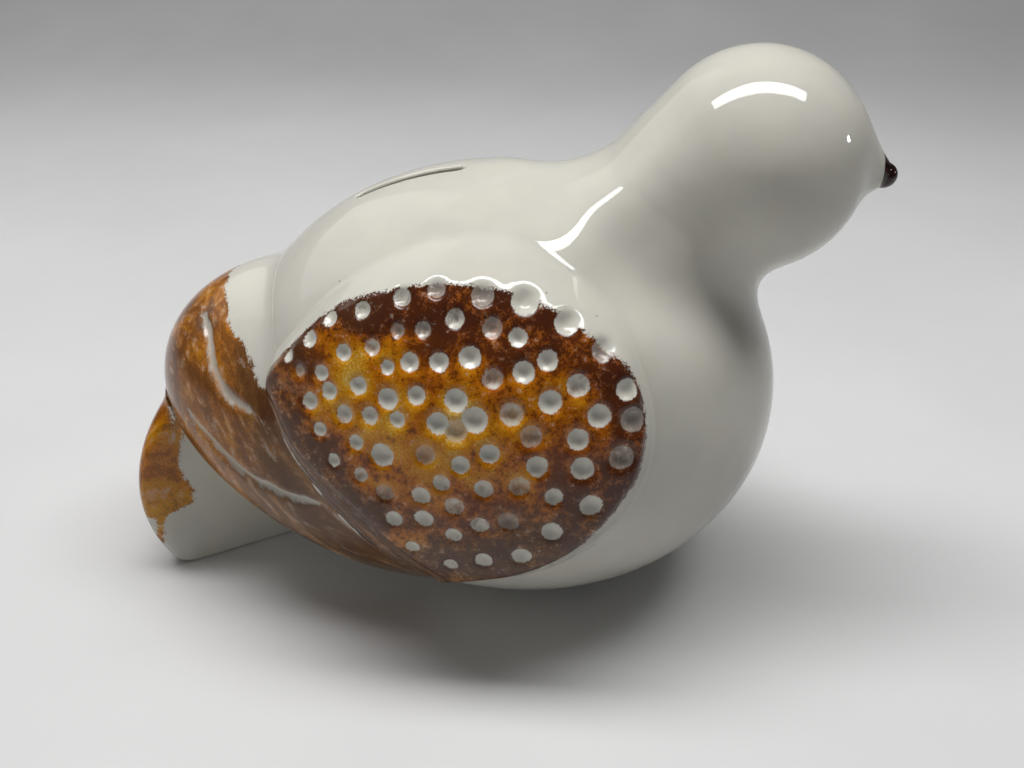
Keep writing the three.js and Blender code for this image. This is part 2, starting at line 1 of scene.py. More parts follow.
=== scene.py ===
"""Looks for the ceramic bird money box: a hollow glazed bird with dimpled wing pads, feather
bands, a fan tail and a rubber bung in its base. Shapes are worked out in millimetres in the
bird's own frame, whose x = 0 is the middle of the egg-shaped body, and stored in metres in
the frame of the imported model."""

import bpy
import numpy as np
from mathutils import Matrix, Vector, geometry


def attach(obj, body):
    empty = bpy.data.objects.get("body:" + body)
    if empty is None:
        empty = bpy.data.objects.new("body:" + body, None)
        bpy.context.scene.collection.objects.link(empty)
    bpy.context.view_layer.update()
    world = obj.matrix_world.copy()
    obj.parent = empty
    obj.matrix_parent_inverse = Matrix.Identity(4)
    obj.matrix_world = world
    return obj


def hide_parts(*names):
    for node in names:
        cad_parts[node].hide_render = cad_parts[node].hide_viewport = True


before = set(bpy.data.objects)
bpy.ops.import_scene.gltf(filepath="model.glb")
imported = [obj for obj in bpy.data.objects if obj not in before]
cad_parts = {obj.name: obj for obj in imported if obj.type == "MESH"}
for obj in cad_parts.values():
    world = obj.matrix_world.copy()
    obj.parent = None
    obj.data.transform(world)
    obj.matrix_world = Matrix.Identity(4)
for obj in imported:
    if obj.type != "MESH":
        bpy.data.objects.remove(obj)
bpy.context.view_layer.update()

ROW_SHIFT = 6.2          # the bird's x = 0 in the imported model's frame
MM = 0.001
TAU = 2 * np.pi

# Camera

CAMERA_AT = (0.03706, -0.3131, 0.2445)
CAMERA_AIM = (0.0079, 0.0, 0.06971)
CAMERA_LENS = 35.16


def make_camera():
    data = bpy.data.cameras.new("camera")
    camera = bpy.data.objects.new("camera", data)
    data.lens = CAMERA_LENS
    data.sensor_width = 36.0
    data.clip_start = 0.01
    data.clip_end = 20.0
    camera.location = CAMERA_AT
    aim = Vector(CAMERA_AIM) - Vector(CAMERA_AT)
    camera.rotation_euler = aim.to_track_quat("-Z", "Y").to_euler()
    bpy.context.scene.collection.objects.link(camera)
    bpy.context.scene.camera = camera


make_camera()

# Forms: distance fields in millimetres, negative inside

EGG = (93.1, 72.5, 76.6)
EGG_Z = 73.4
EGG_TILT = np.radians(-4.0)
EGG_TAPER = 0.03
RUMP = (87.0, 55.6, 56.9)
RUMP_AT = np.array([-39.5, 0.0, 55.2])
RUMP_TILT = np.radians(-19.4)
RUMP_FILLET = 4.0
SUNK = 3.3               # the wall under the feather bands is this far in from their outside
HEAD_AT = np.array([77.8, 0.0, 154.0])
HEAD_RADIUS = 34.6
NECK_ROOT = np.array([20.0, 0.0, 88.4])
NECK_TOP = np.array([56.0, 0.0, 140.0])
NECK_RADII = (35.5, 27.3)
NECK_FILLET, SHOULDER_FILLET = 10.8, 18.0
# Small swellings and dips of the neck's flanks, fitted to the light on them in the photo:
# x, y, z and how far the skin moves out
NECK_SHAPING = [
    (44.8, 22.2, 154.0, 1.7), (18.4, 23.2, 145.2, -1.5), (31.3, 23.7, 145.7, 1.7),
    (42.3, 26.6, 144.9, 1.2), (23.6, 34.5, 138.4, 1.5), (34.5, 35.2, 136.0, -1.7),
    (45.8, 33.9, 134.3, 0.5), (57.8, 31.6, 131.6, 1.7), (39.6, 41.7, 127.8, -1.7),
    (50.8, 40.3, 122.9, -1.7),
]
NECK_REACH = 13.0
SHAPED_FROM_X, SHAPED_FROM_Z = -15, 80
BEAK_ROOT = np.array([100.4, 0.0, 156.0])
BEAK_TIP = np.array([118.0, 0.0, 150.2])
BEAK_RADII, BEAK_FILLET = (14.0, 4.0), 8.0
BEAK_SEAM_X = 107.6
HEAD_END_WALL = 2.5      # where the beak's cap closes the head
TAIL_APEX_X = -79.4
TAIL_HALF = np.radians(33.6)
TAIL_REAR = (-63.6, 29.9, 70.8)    # x, z and radius of the round rear face
TAIL_REAR_SCALE = (0.6, 1.08)      # of y and z in that face
TAIL_ROUND, TAIL_FILLET = 9.5, 3.0
TAIL_GAP, TAIL_GAP_ROUND = 0.8, 0.3
BAND_REAR = np.array([-122.0, 66.0])
BAND_FRONT = np.array([-42.0, 8.0])
BAND_FLOOR = 8.0
BAND_CORNER, BAND_FILLET = 3.0, 4.0
WALL = 5.0
FOOT_RADIUS = 26.0
FOOT_HEIGHT = 6.0
FOOT_ROUND, FOOT_FILLET = 1.0, 2.5
BASE_ROUND = 1.6


def unit(v):
    return v / np.maximum(np.linalg.norm(v, axis=-1, keepdims=True), 1e-12)


def smooth_min(a, b, k):
    h = np.maximum(k - np.abs(a - b), 0) / k
    return np.minimum(a, b) - h * h * k * 0.25


def smooth_max(a, b, k):
    return -smooth_min(-a, -b, k)


def smoothstep(x, low, high):
    t = np.clip((x - low) / (high - low), 0, 1)
    return t * t * (3 - 2 * t)


def ellipsoid(x, y, z, a, b, c):
    k0 = np.sqrt((x / a) ** 2 + (y / b) ** 2 + (z / c) ** 2)
    k1 = np.sqrt((x / a**2) ** 2 + (y / b**2) ** 2 + (z / c**2) ** 2)
    return k0 * (k0 - 1) / np.maximum(k1, 1e-9)


def cone(p, start, end, start_radius, end_radius):
    axis = end - start
    t = np.clip((p - start) @ axis / (axis @ axis), 0, 1)
    nearest = start + t[..., None] * axis
    return np.linalg.norm(p - nearest, axis=-1) - (start_radius + (end_radius - start_radius) * t)


def egg(p):
    c, s = np.cos(EGG_TILT), np.sin(EGG_TILT)
    along = c * p[..., 0] + s * (p[..., 2] - EGG_Z)
    up = -s * p[..., 0] + c * (p[..., 2] - EGG_Z)
    taper = np.clip(1 + EGG_TAPER * along / EGG[0], 0.5, 1.5)
    return ellipsoid(along, p[..., 1] / taper, up / taper, *EGG)


def rump(p, inset=0.0):
    c, s = np.cos(RUMP_TILT), np.sin(RUMP_TILT)
    x, z = p[..., 0] - RUMP_AT[0], p[..., 2] - RUMP_AT[2]
    return ellipsoid(c * x + s * z, p[..., 1], -s * x + c * z, *(r - inset for r in RUMP))


def body(p):
    head = np.linalg.norm(p - HEAD_AT, axis=-1) - HEAD_RADIUS
    neck = smooth_min(head, cone(p, NECK_ROOT, NECK_TOP, *NECK_RADII), NECK_FILLET)
    trunk = smooth_min(egg(p), rump(p, SUNK), RUMP_FILLET)
    form = smooth_min(neck, trunk, SHOULDER_FILLET)
    near = (p[..., 0] > SHAPED_FROM_X) & (p[..., 2] > SHAPED_FROM_Z)
    if near.any():
        q = p[near] * [1, 0, 1] + np.abs(p[near]) * [0, 1, 0]
        swell = sum(a * np.exp(-((q - (x, y, z)) ** 2).sum(-1) / NECK_REACH**2)
                    for x, y, z, a in NECK_SHAPING)
        form[near] -= swell
    return form


def head_form(p):
    return smooth_min(body(p), cone(p, BEAK_ROOT, BEAK_TIP, *BEAK_RADII), BEAK_FILLET)


def belly_form(p):
    r = np.hypot(p[..., 0], p[..., 1])
    foot = smooth_max(r - FOOT_RADIUS, p[..., 2] - FOOT_HEIGHT, FOOT_ROUND)
    return smooth_max(smooth_min(body(p), foot, FOOT_FILLET), -p[..., 2], BASE_ROUND)


def hollow(p):
    return body(p) + WALL


def belly_hollow(p):
    return np.maximum(hollow(p), WALL - p[..., 2])


def head_hollow(p):
    return np.maximum(hollow(p), p[..., 0] - (BEAK_SEAM_X - HEAD_END_WALL))


def under_band(p):
    """How far a point is under the line that ends the feather bands."""
    run = BAND_FRONT - BAND_REAR
    down = np.array([run[1], -run[0]]) / np.linalg.norm(run)
    line = (p[..., 0] - BAND_REAR[0]) * down[0] + (p[..., 2] - BAND_REAR[1]) * down[1]
    return smooth_max(line, BAND_FLOOR - p[..., 2], BAND_CORNER)


def band_form(p):
    band = smooth_max(rump(p), under_band(p), BAND_FILLET)
    return smooth_min(body(p), band, BAND_FILLET)


def tail_form(p):
    side = np.cos(TAIL_HALF) * np.abs(p[..., 1]) - np.sin(TAIL_HALF) * (TAIL_APEX_X - p[..., 0])
    across, up = TAIL_REAR_SCALE
    rear = np.sqrt((p[..., 0] - TAIL_REAR[0]) ** 2 + (p[..., 1] * across) ** 2
                   + ((p[..., 2] - TAIL_REAR[1]) * up) ** 2) - TAIL_REAR[2]
    banded = band_form(p)
    joined = smooth_min(smooth_max(side, rear, TAIL_ROUND), banded, TAIL_FILLET)
    clear = smooth_max(joined, -(banded + TAIL_GAP), TAIL_GAP_ROUND)
    return smooth_max(clear, -p[..., 2], BASE_ROUND)


# Meshing

HALVINGS = 18
SHARP_ANGLE = np.radians(38)


def leave_at(field, origin, dirs, step=4.0, reach=240.0):
    """Where straight lines from the origin first leave the field."""
    origin, dirs = np.broadcast_arrays(origin, dirs)
    near = np.zeros(len(dirs))
    far = np.full(len(dirs), step)
    going = np.arange(len(dirs))
    while len(going):
        inside = field(origin[going] + dirs[going] * far[going, None]) < 0
        going = going[inside]
        near[going] = far[going]
        far[going] += step
        going = going[far[going] < reach]
    for _ in range(HALVINGS):
        middle = (near + far) / 2
        inside = field(origin + dirs * middle[:, None]) < 0
        near = np.where(inside, middle, near)
        far = np.where(inside, far, middle)
    return origin + dirs * near[:, None]


def gradient(field, p, e=0.05):
    out = np.empty_like(p)
    for axis in range(3):
        shift = np.zeros(3)
        shift[axis] = e
        out[:, axis] = field(p + shift) - field(p - shift)
    return unit(out)


def between(a, b, share):
    """Directions part of the way from a to b along the great circle."""
    dot = np.clip((a * b).sum(-1, keepdims=True), -1, 1)
    angle = np.maximum(np.arccos(dot), 1e-6)
    return (np.sin((1 - share) * angle) * a + np.sin(share * angle) * b) / np.sin(angle)


def arcs(field, origin, start, end, shares, step=4.0):
    """Rings of points on the field between two rings of directions from the origin."""
    dirs = np.concatenate([unit(between(start, end, s)) for s in shares])
    return leave_at(field, origin, dirs, step).reshape(len(shares), -1, 3)


class Surface:
    """Points and faces gathered for one piece. A skin face is shaded by its points' normals."""

    def __init__(self):
        self.points, self.normals, self.faces, self.skin = [], [], [], []
        self.values = {}
        self.count = 0

    def add(self, points, normals=None):
        points = np.asarray(points, float).reshape(-1, 3)
        self.points.append(points)
        normals = np.zeros_like(points) if normals is None else np.asarray(normals, float)
        self.normals.append(normals.reshape(-1, 3))
        first = self.count
        self.count += len(points)
        return np.arange(first, self.count)

    def face(self, quads, skin=True):
        for q in quads:
            self.faces.append(tuple(int(i) for i in q))
            self.skin.append(skin)

    def rings(self, a, b, skin=True, closed=True):
        """Faces between two rings of point numbers. Ring b may have half as many points."""
        n = len(a)
        last = n if closed else n - 1
        i = np.arange(last)
        j = (i + 1) % n
        if len(b) == n:
            self.face(np.stack([a[i], b[i], b[j], a[j]], 1), skin)
            return
        k = np.arange(0, last, 2)
        m = k // 2
        m2 = (m + 1) % len(b)
        self.face(np.stack([a[k], b[m], a[(k + 1) % n]], 1), skin)
        self.face(np.stack([a[(k + 1) % n], b[m], b[m2], a[(k + 2) % n]], 1), skin)

    def fan(self, ring, centre, skin=True, closed=True):
        i = np.arange(len(ring) if closed else len(ring) - 1)
        j = (i + 1) % len(ring)
        self.face(np.stack([ring[i], np.full(len(i), centre), ring[j]], 1), skin)

    def all_points(self):
        return np.concatenate(self.points)


def face_normals_at_points(points, faces):
    out = np.zeros_like(points)
    for size in (3, 4):
        f = np.array([q for q in faces if len(q) == size], int).reshape(-1, size)
        n = np.cross(points[f[:, 2]] - points[f[:, 0]], points[f[:, -1]] - points[f[:, 1]])
        for corner in range(size):
            np.add.at(out, f[:, corner], n)
    return unit(out)


def make_piece(name, surface, material, node, body_name, flip=False):
    points = surface.all_points()
    normals = np.concatenate(surface.normals)
    faces = surface.faces
    if flip:
        faces = [tuple(reversed(f)) for f in faces]
    mesh = bpy.data.meshes.new(name)
    row = (points + np.array([ROW_SHIFT, 0, 0])) * MM
    mesh.from_pydata(row.tolist(), [], faces)
    mesh.polygons.foreach_set("use_smooth", np.ones(len(faces), bool))
    mesh.set_sharp_from_angle(angle=SHARP_ANGLE)
    corner_vertex = np.empty(len(mesh.loops), np.int32)
    mesh.loops.foreach_get("vertex_index", corner_vertex)
    sizes = np.array([len(f) for f in faces])
    on_skin = np.repeat(np.array(surface.skin, bool), sizes)
    corner_normals = np.where(on_skin[:, None], normals[corner_vertex], 0.0)
    mesh.normals_split_custom_set(corner_normals.tolist())
    for key, value in surface.values.items():
        layer = mesh.attributes.new(key, "FLOAT", "POINT")
        layer.data.foreach_set("value", np.asarray(value, np.float32))
    mesh.materials.append(material)
    mesh.update()
    piece = bpy.data.objects.new(name, mesh)
    bpy.context.scene.collection.objects.link(piece)
    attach(piece, body_name)
    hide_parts(node)
    return piece


# Rings that pieces share

COLUMNS = 240
TURN = np.arange(COLUMNS) * TAU / COLUMNS
COS, SIN = np.cos(TURN)[:, None], np.sin(TURN)[:, None]
FRONT, SIDE, UP = np.eye(3)
RIGHT, DOWN = -SIDE, -UP
NECK_SEAM = NECK_ROOT + 0.69 * (HEAD_AT - NECK_ROOT)
NECK_AXIS = unit(HEAD_AT - NECK_ROOT)
NECK_FRONT = np.array([NECK_AXIS[2], 0.0, -NECK_AXIS[0]])
WAIST = np.array([0.0, 0.0, EGG_Z])
BEAK_MIDDLE = np.array([BEAK_SEAM_X, 0.0, 153.6])

neck_dirs = COS * NECK_FRONT + SIN * SIDE
waist_dirs = COS * FRONT + SIN * SIDE
beak_dirs = COS * DOWN + SIN * SIDE
neck_out = leave_at(body, NECK_SEAM, neck_dirs)
neck_in = leave_at(hollow, NECK_SEAM, neck_dirs)
waist_out = leave_at(body, WAIST, waist_dirs)
waist_in = leave_at(hollow, WAIST, waist_dirs)
beak_out = leave_at(head_form, BEAK_MIDDLE, beak_dirs)


def skin_rings(surface, field, grid):
    """Adds rings of points with the field's normals."""
    return [surface.add(row, gradient(field, row)) for row in grid]


def join(surface, numbers, skin=True, turn_in=False, closed=True):
    """Faces between each two neighbours of a row of rings."""
    for a, b in zip(numbers, numbers[1:]):
        surface.rings(*((b, a) if turn_in else (a, b)), skin, closed)


def circle(radius, z):
    return np.column_stack([radius * COS[:, 0], radius * SIN[:, 0], np.full(COLUMNS, z)])


def spread(values, total, rest):
    """Values of a surface's first points, and one resting value for all the others."""
    out = np.full(total, float(rest))
    out[:len(values)] = values
    return out


def make_side(name, surface, points, normals, material, node, left):
    """A piece of the right side, or its mirror image."""
    if left:
        points[:, 1] *= -1
        normals[:, 1] *= -1
    surface.points, surface.normals = [points], [normals]
    return make_piece(name, surface, material, node, "bank", flip=left)


# Back shell with the coin slot

SLOT_X, SLOT_HALF, SLOT_RADIUS = -31.8, 15.7, 2.3
SLOT_LIP = 1.3
SLOT_COLUMNS = 96
BACK_EYE = np.array([-15.0, 0.0, 68.4])
BACK_ROWS, INNER_ROWS = 96, 40
LIP_STEPS = (0.0, 0.08, 0.25, 0.5, 0.85, 1.3, 1.9, 2.8, 4.0, 5.4)
SLOT_WALL_SHARES = (0.33, 0.67, 1.0)
OUTER_CLEAR, INNER_CLEAR = 6.4, 2.0     # how far round the slot the grids are left open
ROOF_Z = 100.0                          # under the back's wall along the whole slot


def slot_distance(x, y):
    return np.hypot(np.maximum(np.abs(x - SLOT_X) - SLOT_HALF, 0), y) - SLOT_RADIUS


def slot_ring(distance):
    """Plan points at a distance outside the slot's edge."""
    r = SLOT_RADIUS + distance
    quarter = SLOT_COLUMNS // 4
    ends = np.linspace(-np.pi / 2, np.pi / 2, quarter + 1)
    straight = np.linspace(-SLOT_HALF, SLOT_HALF, quarter + 1)
    out = [(SLOT_X + SLOT_HALF + r * np.cos(a), r * np.sin(a)) for a in ends]
    out += [(SLOT_X - x, r) for x in straight[1:]]
    out += [(SLOT_X - SLOT_HALF - r * np.cos(a), -r * np.sin(a)) for a in ends[1:]]
    out += [(SLOT_X + x, -r) for x in straight[1:-1]]
    return np.array(out)


def top_of(field, plan):
    start = np.column_stack([plan, np.full(len(plan), ROOF_Z)])
    return leave_at(field, start, UP)


def inside_polygon(points, polygon):
    x, y = points[:, 0], points[:, 1]
    hit = np.zeros(len(points), bool)
    for (ax, ay), (bx, by) in zip(polygon, np.roll(polygon, -1, axis=0)):
        cross = (ay > y) != (by > y)
        at = ax + (y - ay) / (by - ay if by != ay else 1e-12) * (bx - ax)
        hit ^= cross & (x < at)
    return hit


def rim_loop(quads):
    """The point numbers round a patch of faces, in order."""
    edges = {}
    for q in quads:
        for a, b in zip(q, np.roll(q, -1)):
            if (b, a) in edges:
                del edges[(b, a)]
            else:
                edges[(a, b)] = True
    follow = dict(edges.keys())
    loop = [next(iter(follow))]
    while follow[loop[-1]] != loop[0]:
        loop.append(follow[loop[-1]])
    return loop


def fill_between(surface, loop, ring_numbers, ring_plan, turn_in):
    """Triangles between a loop of points and the ring inside it, as they lie in plan."""
    loop_plan = surface.all_points()[loop][:, :2]
    plan = np.concatenate([loop_plan, ring_plan])
    owners = list(loop) + list(ring_numbers)
    n, m = len(loop), len(ring_plan)
    cuts = [(i, (i + 1) % n) for i in range(n)] + [(n + i, n + (i + 1) % m) for i in range(m)]
    _, _, triangles, origin, _, _ = geometry.delaunay_2d_cdt(
        [Vector(v) for v in plan], cuts, [], 0, 1e-6)
    origin = [o[0] for o in origin]
    for triangle in triangles:
        t = [origin[i] for i in triangle]
        middle = plan[t].mean(0)[None]
        if not inside_polygon(middle, loop_plan)[0] or inside_polygon(middle, ring_plan)[0]:
            continue
        a, b, c = (plan[i] for i in t)
        turn = (b[0] - a[0]) * (c[1] - a[1]) - (b[1] - a[1]) * (c[0] - a[0])
        if (turn < 0) != turn_in:
            t = t[::-1]
        surface.face([tuple(owners[i] for i in t)])


def slotted(surface, grid, normals, clear, ring_numbers, ring_plan, turn_in):
    """Faces of a closed grid with an opening round the slot, filled up to the given ring."""
    rows, columns = grid.shape[:2]
    numbers = surface.add(grid, normals).reshape(rows, columns)
    near = (slot_distance(grid[..., 0], grid[..., 1]) < clear) & (grid[..., 2] > ROOF_Z)
    r, c = np.meshgrid(np.arange(rows - 1), np.arange(columns), indexing="ij")
    c2 = (c + 1) % columns
    corners = [(r, c), (r + 1, c), (r + 1, c2), (r, c2)]
    open_face = np.logical_or.reduce([near[a, b] for a, b in corners])
    quads = np.stack([numbers[a, b] for a, b in corners], -1)
    if turn_in:
        quads = quads[..., ::-1]
    surface.face(quads[~open_face].reshape(-1, 4))
    loop = rim_loop(quads[open_face].reshape(-1, 4))
    fill_between(surface, loop, ring_numbers, ring_plan, turn_in)
    return numbers


def slot_lip():
    """Rings from the slot's wall over its rounded lip: plan, points and normals of each."""
    rings = []
    for d in LIP_STEPS:
        plan = slot_ring(d)
        at = top_of(body, plan)
        drop = SLOT_LIP - np.sqrt(max(SLOT_LIP**2 - max(SLOT_LIP - d, 0) ** 2, 0))
        middle = np.clip(plan[:, 0], SLOT_X - SLOT_HALF, SLOT_X + SLOT_HALF)
        flat = plan - np.column_stack([middle, np.zeros(len(plan))])
        inward = -unit(np.column_stack([flat, np.zeros(len(flat))]))
        lean = min(max(SLOT_LIP - d, 0) / SLOT_LIP, 1)
        normal = unit(gradient(body, at) * np.sqrt(1 - lean**2) + inward * lean)
        rings.append((plan, at - np.array([0, 0, drop]), normal))
    return rings


def shell_grid(field, top_ring, waist_ring, rows):
    """Rings of points and normals of a wall of the back, between its two seams."""
    start, end = unit(top_ring - BACK_EYE), unit(waist_ring - BACK_EYE)
    grid = arcs(field, BACK_EYE, start, end, np.linspace(0, 1, rows))
    grid[0], grid[-1] = top_ring, waist_ring
    return grid, gradient(field, grid.reshape(-1, 3)).reshape(grid.shape)


def make_back(material):
    s = Surface()
    lip = slot_lip()
    lip_numbers = [s.add(points, normals) for _, points, normals in lip]
    join(s, lip_numbers)
    plan, edge, inward = lip[0]
    roof = top_of(hollow, plan)
    wall = [lip_numbers[0]]
    wall += [s.add(edge * (1 - share) + roof * share, inward) for share in SLOT_WALL_SHARES]
    join(s, wall, turn_in=True)
    grid, normals = shell_grid(body, neck_out, waist_out, BACK_ROWS)
    outer = slotted(s, grid, normals, OUTER_CLEAR, lip_numbers[-1], lip[-1][0], False)
    grid, normals = shell_grid(hollow, neck_in, waist_in, INNER_ROWS)
    inner_ring = s.add(roof, -gradient(hollow, roof))
    inner = slotted(s, grid, -normals, INNER_CLEAR, inner_ring, plan, True)
    s.rings(inner_ring, wall[-1], False)
    s.rings(inner[0], outer[0], False)
    s.rings(outer[-1], inner[-1], False)
    return make_piece("back_shell_glazed", s, material, "back_shell", "bank")


# Belly shell, foot and filling hole

BELLY_EYE = np.array([0.0, 0.0, 60.0])
BELLY_ROWS, FOOT_ROWS = 60, 22
TURN_IN_RADIUS, FOOT_END_RADIUS = 31.0, 23.5   # where the skin's rings close up over the foot
FLOOR_RADIUS = 22.0
# The foot's ring, the tapered filling hole and the floor round it: radius and height
HOLE_PROFILE = [
    (22.0, 0.0), (19.5, 0.0), (16.7, 0.0), (16.2, 0.08), (15.8, 0.35), (15.55, 0.8),
    (15.44, 1.3), (15.35, 3.0), (15.27, 4.4), (15.4, 4.8), (15.8, 5.0), (18.0, 5.0), (21.0, 5.0),
]
BARE_Z = (0.15, 0.7)     # the glaze is wiped off the foot up to here
BARE_RADIUS = 14.9


def make_belly(material):
    s = Surface()
    start = unit(waist_out - BELLY_EYE)
    low = unit(circle(TURN_IN_RADIUS, 0.0) - BELLY_EYE)
    under = unit(circle(FOOT_END_RADIUS, 0.0) - BELLY_EYE)
    grid = arcs(belly_form, BELLY_EYE, start, low, np.linspace(0, 1, BELLY_ROWS))
    grid[0] = waist_out
    foot = arcs(belly_form, BELLY_EYE, low, under, np.linspace(0, 1, FOOT_ROWS)[1:])
    outer = skin_rings(s, belly_form, np.concatenate([grid, foot]))
    turned = [s.add(circle(r, z)) for r, z in HOLE_PROFILE]
    floor = unit(circle(FLOOR_RADIUS, WALL) - BELLY_EYE)
    end = unit(waist_in - BELLY_EYE)
    grid = arcs(belly_hollow, BELLY_EYE, floor, end, np.linspace(0, 1, INNER_ROWS))
    grid[-1] = waist_in
    inner = [s.add(row, -gradient(belly_hollow, row)) for row in grid]
    join(s, outer)
    join(s, [outer[-1]] + turned + [inner[0]], False)
    join(s, inner)
    join(s, [inner[-1], outer[0]], False)
    points = s.all_points()
    radius = np.hypot(points[:, 0], points[:, 1])
    s.values["bare"] = (1 - smoothstep(points[:, 2], *BARE_Z)) * (radius > BARE_RADIUS)
    return make_piece("belly_shell_glazed", s, material, "belly_shell", "bank")


# Head and beak

HEAD_ROWS, HEAD_INNER_ROWS, BEAK_ROWS = 84, 36, 64
HEAD_STEP, HEAD_INNER_STEP = 0.4, 0.2
BEAK_EYE = np.array([101.6, 0.0, 153.6])
DIP_X = 116.2            # the beak is dark in front of this


def disc(surface, ring_points, centre, turn_in):
    """A flat round end on its own points."""
    rings = [surface.add(centre + (ring_points - centre) * share) for share in (1, 0.7, 0.35)]
    middle = surface.add(centre[None])[0]
    join(surface, rings, False, turn_in)
    surface.fan(rings[-1][::-1] if turn_in else rings[-1], middle, False)
    return rings[0]


def make_head(material):
    s = Surface()
    start, end = unit(neck_out - HEAD_AT), unit(beak_out - HEAD_AT)
    grid = arcs(head_form, HEAD_AT, start, end, np.linspace(0, 1, HEAD_ROWS), HEAD_STEP)
    grid[0], grid[-1] = neck_out, beak_out
    outer = skin_rings(s, head_form, grid)
    join(s, outer, turn_in=True)
    start = unit(neck_in - HEAD_AT)
    shares = np.linspace(0, 0.97, HEAD_INNER_ROWS)
    grid = arcs(head_hollow, HEAD_AT, start, NECK_AXIS, shares, HEAD_INNER_STEP)
    grid[0] = neck_in
    inner = [s.add(row) for row in grid]
    join(s, inner, False)
    tip = s.add(leave_at(head_hollow, HEAD_AT, NECK_AXIS[None]))[0]
    s.fan(inner[-1], tip, False)
    s.rings(outer[0], inner[0], False)
    rim = disc(s, beak_out, BEAK_MIDDLE, True)
    s.rings(rim, outer[-1], False)
    return make_piece("head_shell_glazed", s, material, "head_shell", "bank")


def make_beak(material):
    s = Surface()
    start = unit(beak_out - BEAK_EYE)
    towards_tip = unit(BEAK_TIP - BEAK_EYE)
    tip_at = leave_at(head_form, BEAK_EYE, towards_tip[None])
    grid = arcs(head_form, BEAK_EYE, start, towards_tip, np.linspace(0, 0.985, BEAK_ROWS))
    grid[0] = beak_out
    outer = skin_rings(s, head_form, grid)
    join(s, outer, turn_in=True)
    middle = s.add(tip_at, gradient(head_form, tip_at))[0]
    s.fan(outer[-1][::-1], middle)
    rim = disc(s, beak_out, BEAK_MIDDLE, False)
    s.rings(outer[0], rim, False)
    s.values["tip"] = s.all_points()[:, 0] - DIP_X
    return make_piece("beak_glazed", s, material, "beak", "bank")


# Wing pads

PAD_EYE = np.array([-8.0, 0.0, 84.0])
PAD_EDGE = [(-73, 94), (-53, 119), (-33, 133), (-8, 140.5), (17, 137), (38, 120), (49, 96),
            (48, 74), (36, 52), (12, 34), (-15, 25.5), (-37, 28.5), (-55, 51), (-70, 75)]
PAINT_EDGE = [(-71.4, 96.6), (-58, 111), (-44.7, 122), (-26, 128.4), (-8.3, 130.8),
              (14.4, 127.6), (35.4, 114.8), (43.5, 106.7), (46.8, 94.1), (45.3, 80.3),
              (41.6, 73.2), (35.9, 64.4), (27, 54), (17.6, 46.7), (8.3, 41.5), (-1.7, 37.7),
              (-14.1, 31.6), (-30.3, 26.5), (-46, 44), (-62, 68), (-76, 88)]
STREAK_EDGE = [(-71, 95), (-67, 89), (-58.6, 76.3), (-42, 63.8), (-27, 48.7), (-15, 37.2),
               (-5, 30)]
PLATEAU_EDGE = [(-68.5, 94.5), (-56.5, 108.5), (-44, 119.4), (-26, 127.4), (-8.3, 130.2),
                (14.4, 127.0), (34.9, 114.3), (41.6, 105.4), (44.8, 94), (43.4, 81), (39.8, 74.2),
                (34.2, 65.6), (25.6, 55.6), (16.4, 48.4), (7.4, 43.4), (-2.3, 39.8),
                (-14, 35), (-15, 38.2), (-26.5, 49.5), (-41, 64.8), (-57.5, 77.5), (-65.5, 89)]
PAD_RELIEF = 4.4
PAD_LIP, LIP_WIDTH = 1.7, 11.0
FOOT_EASE, CROWN_EASE = 0.22, 0.07
PAD_COLUMNS = 720
PAD_RINGS = 124
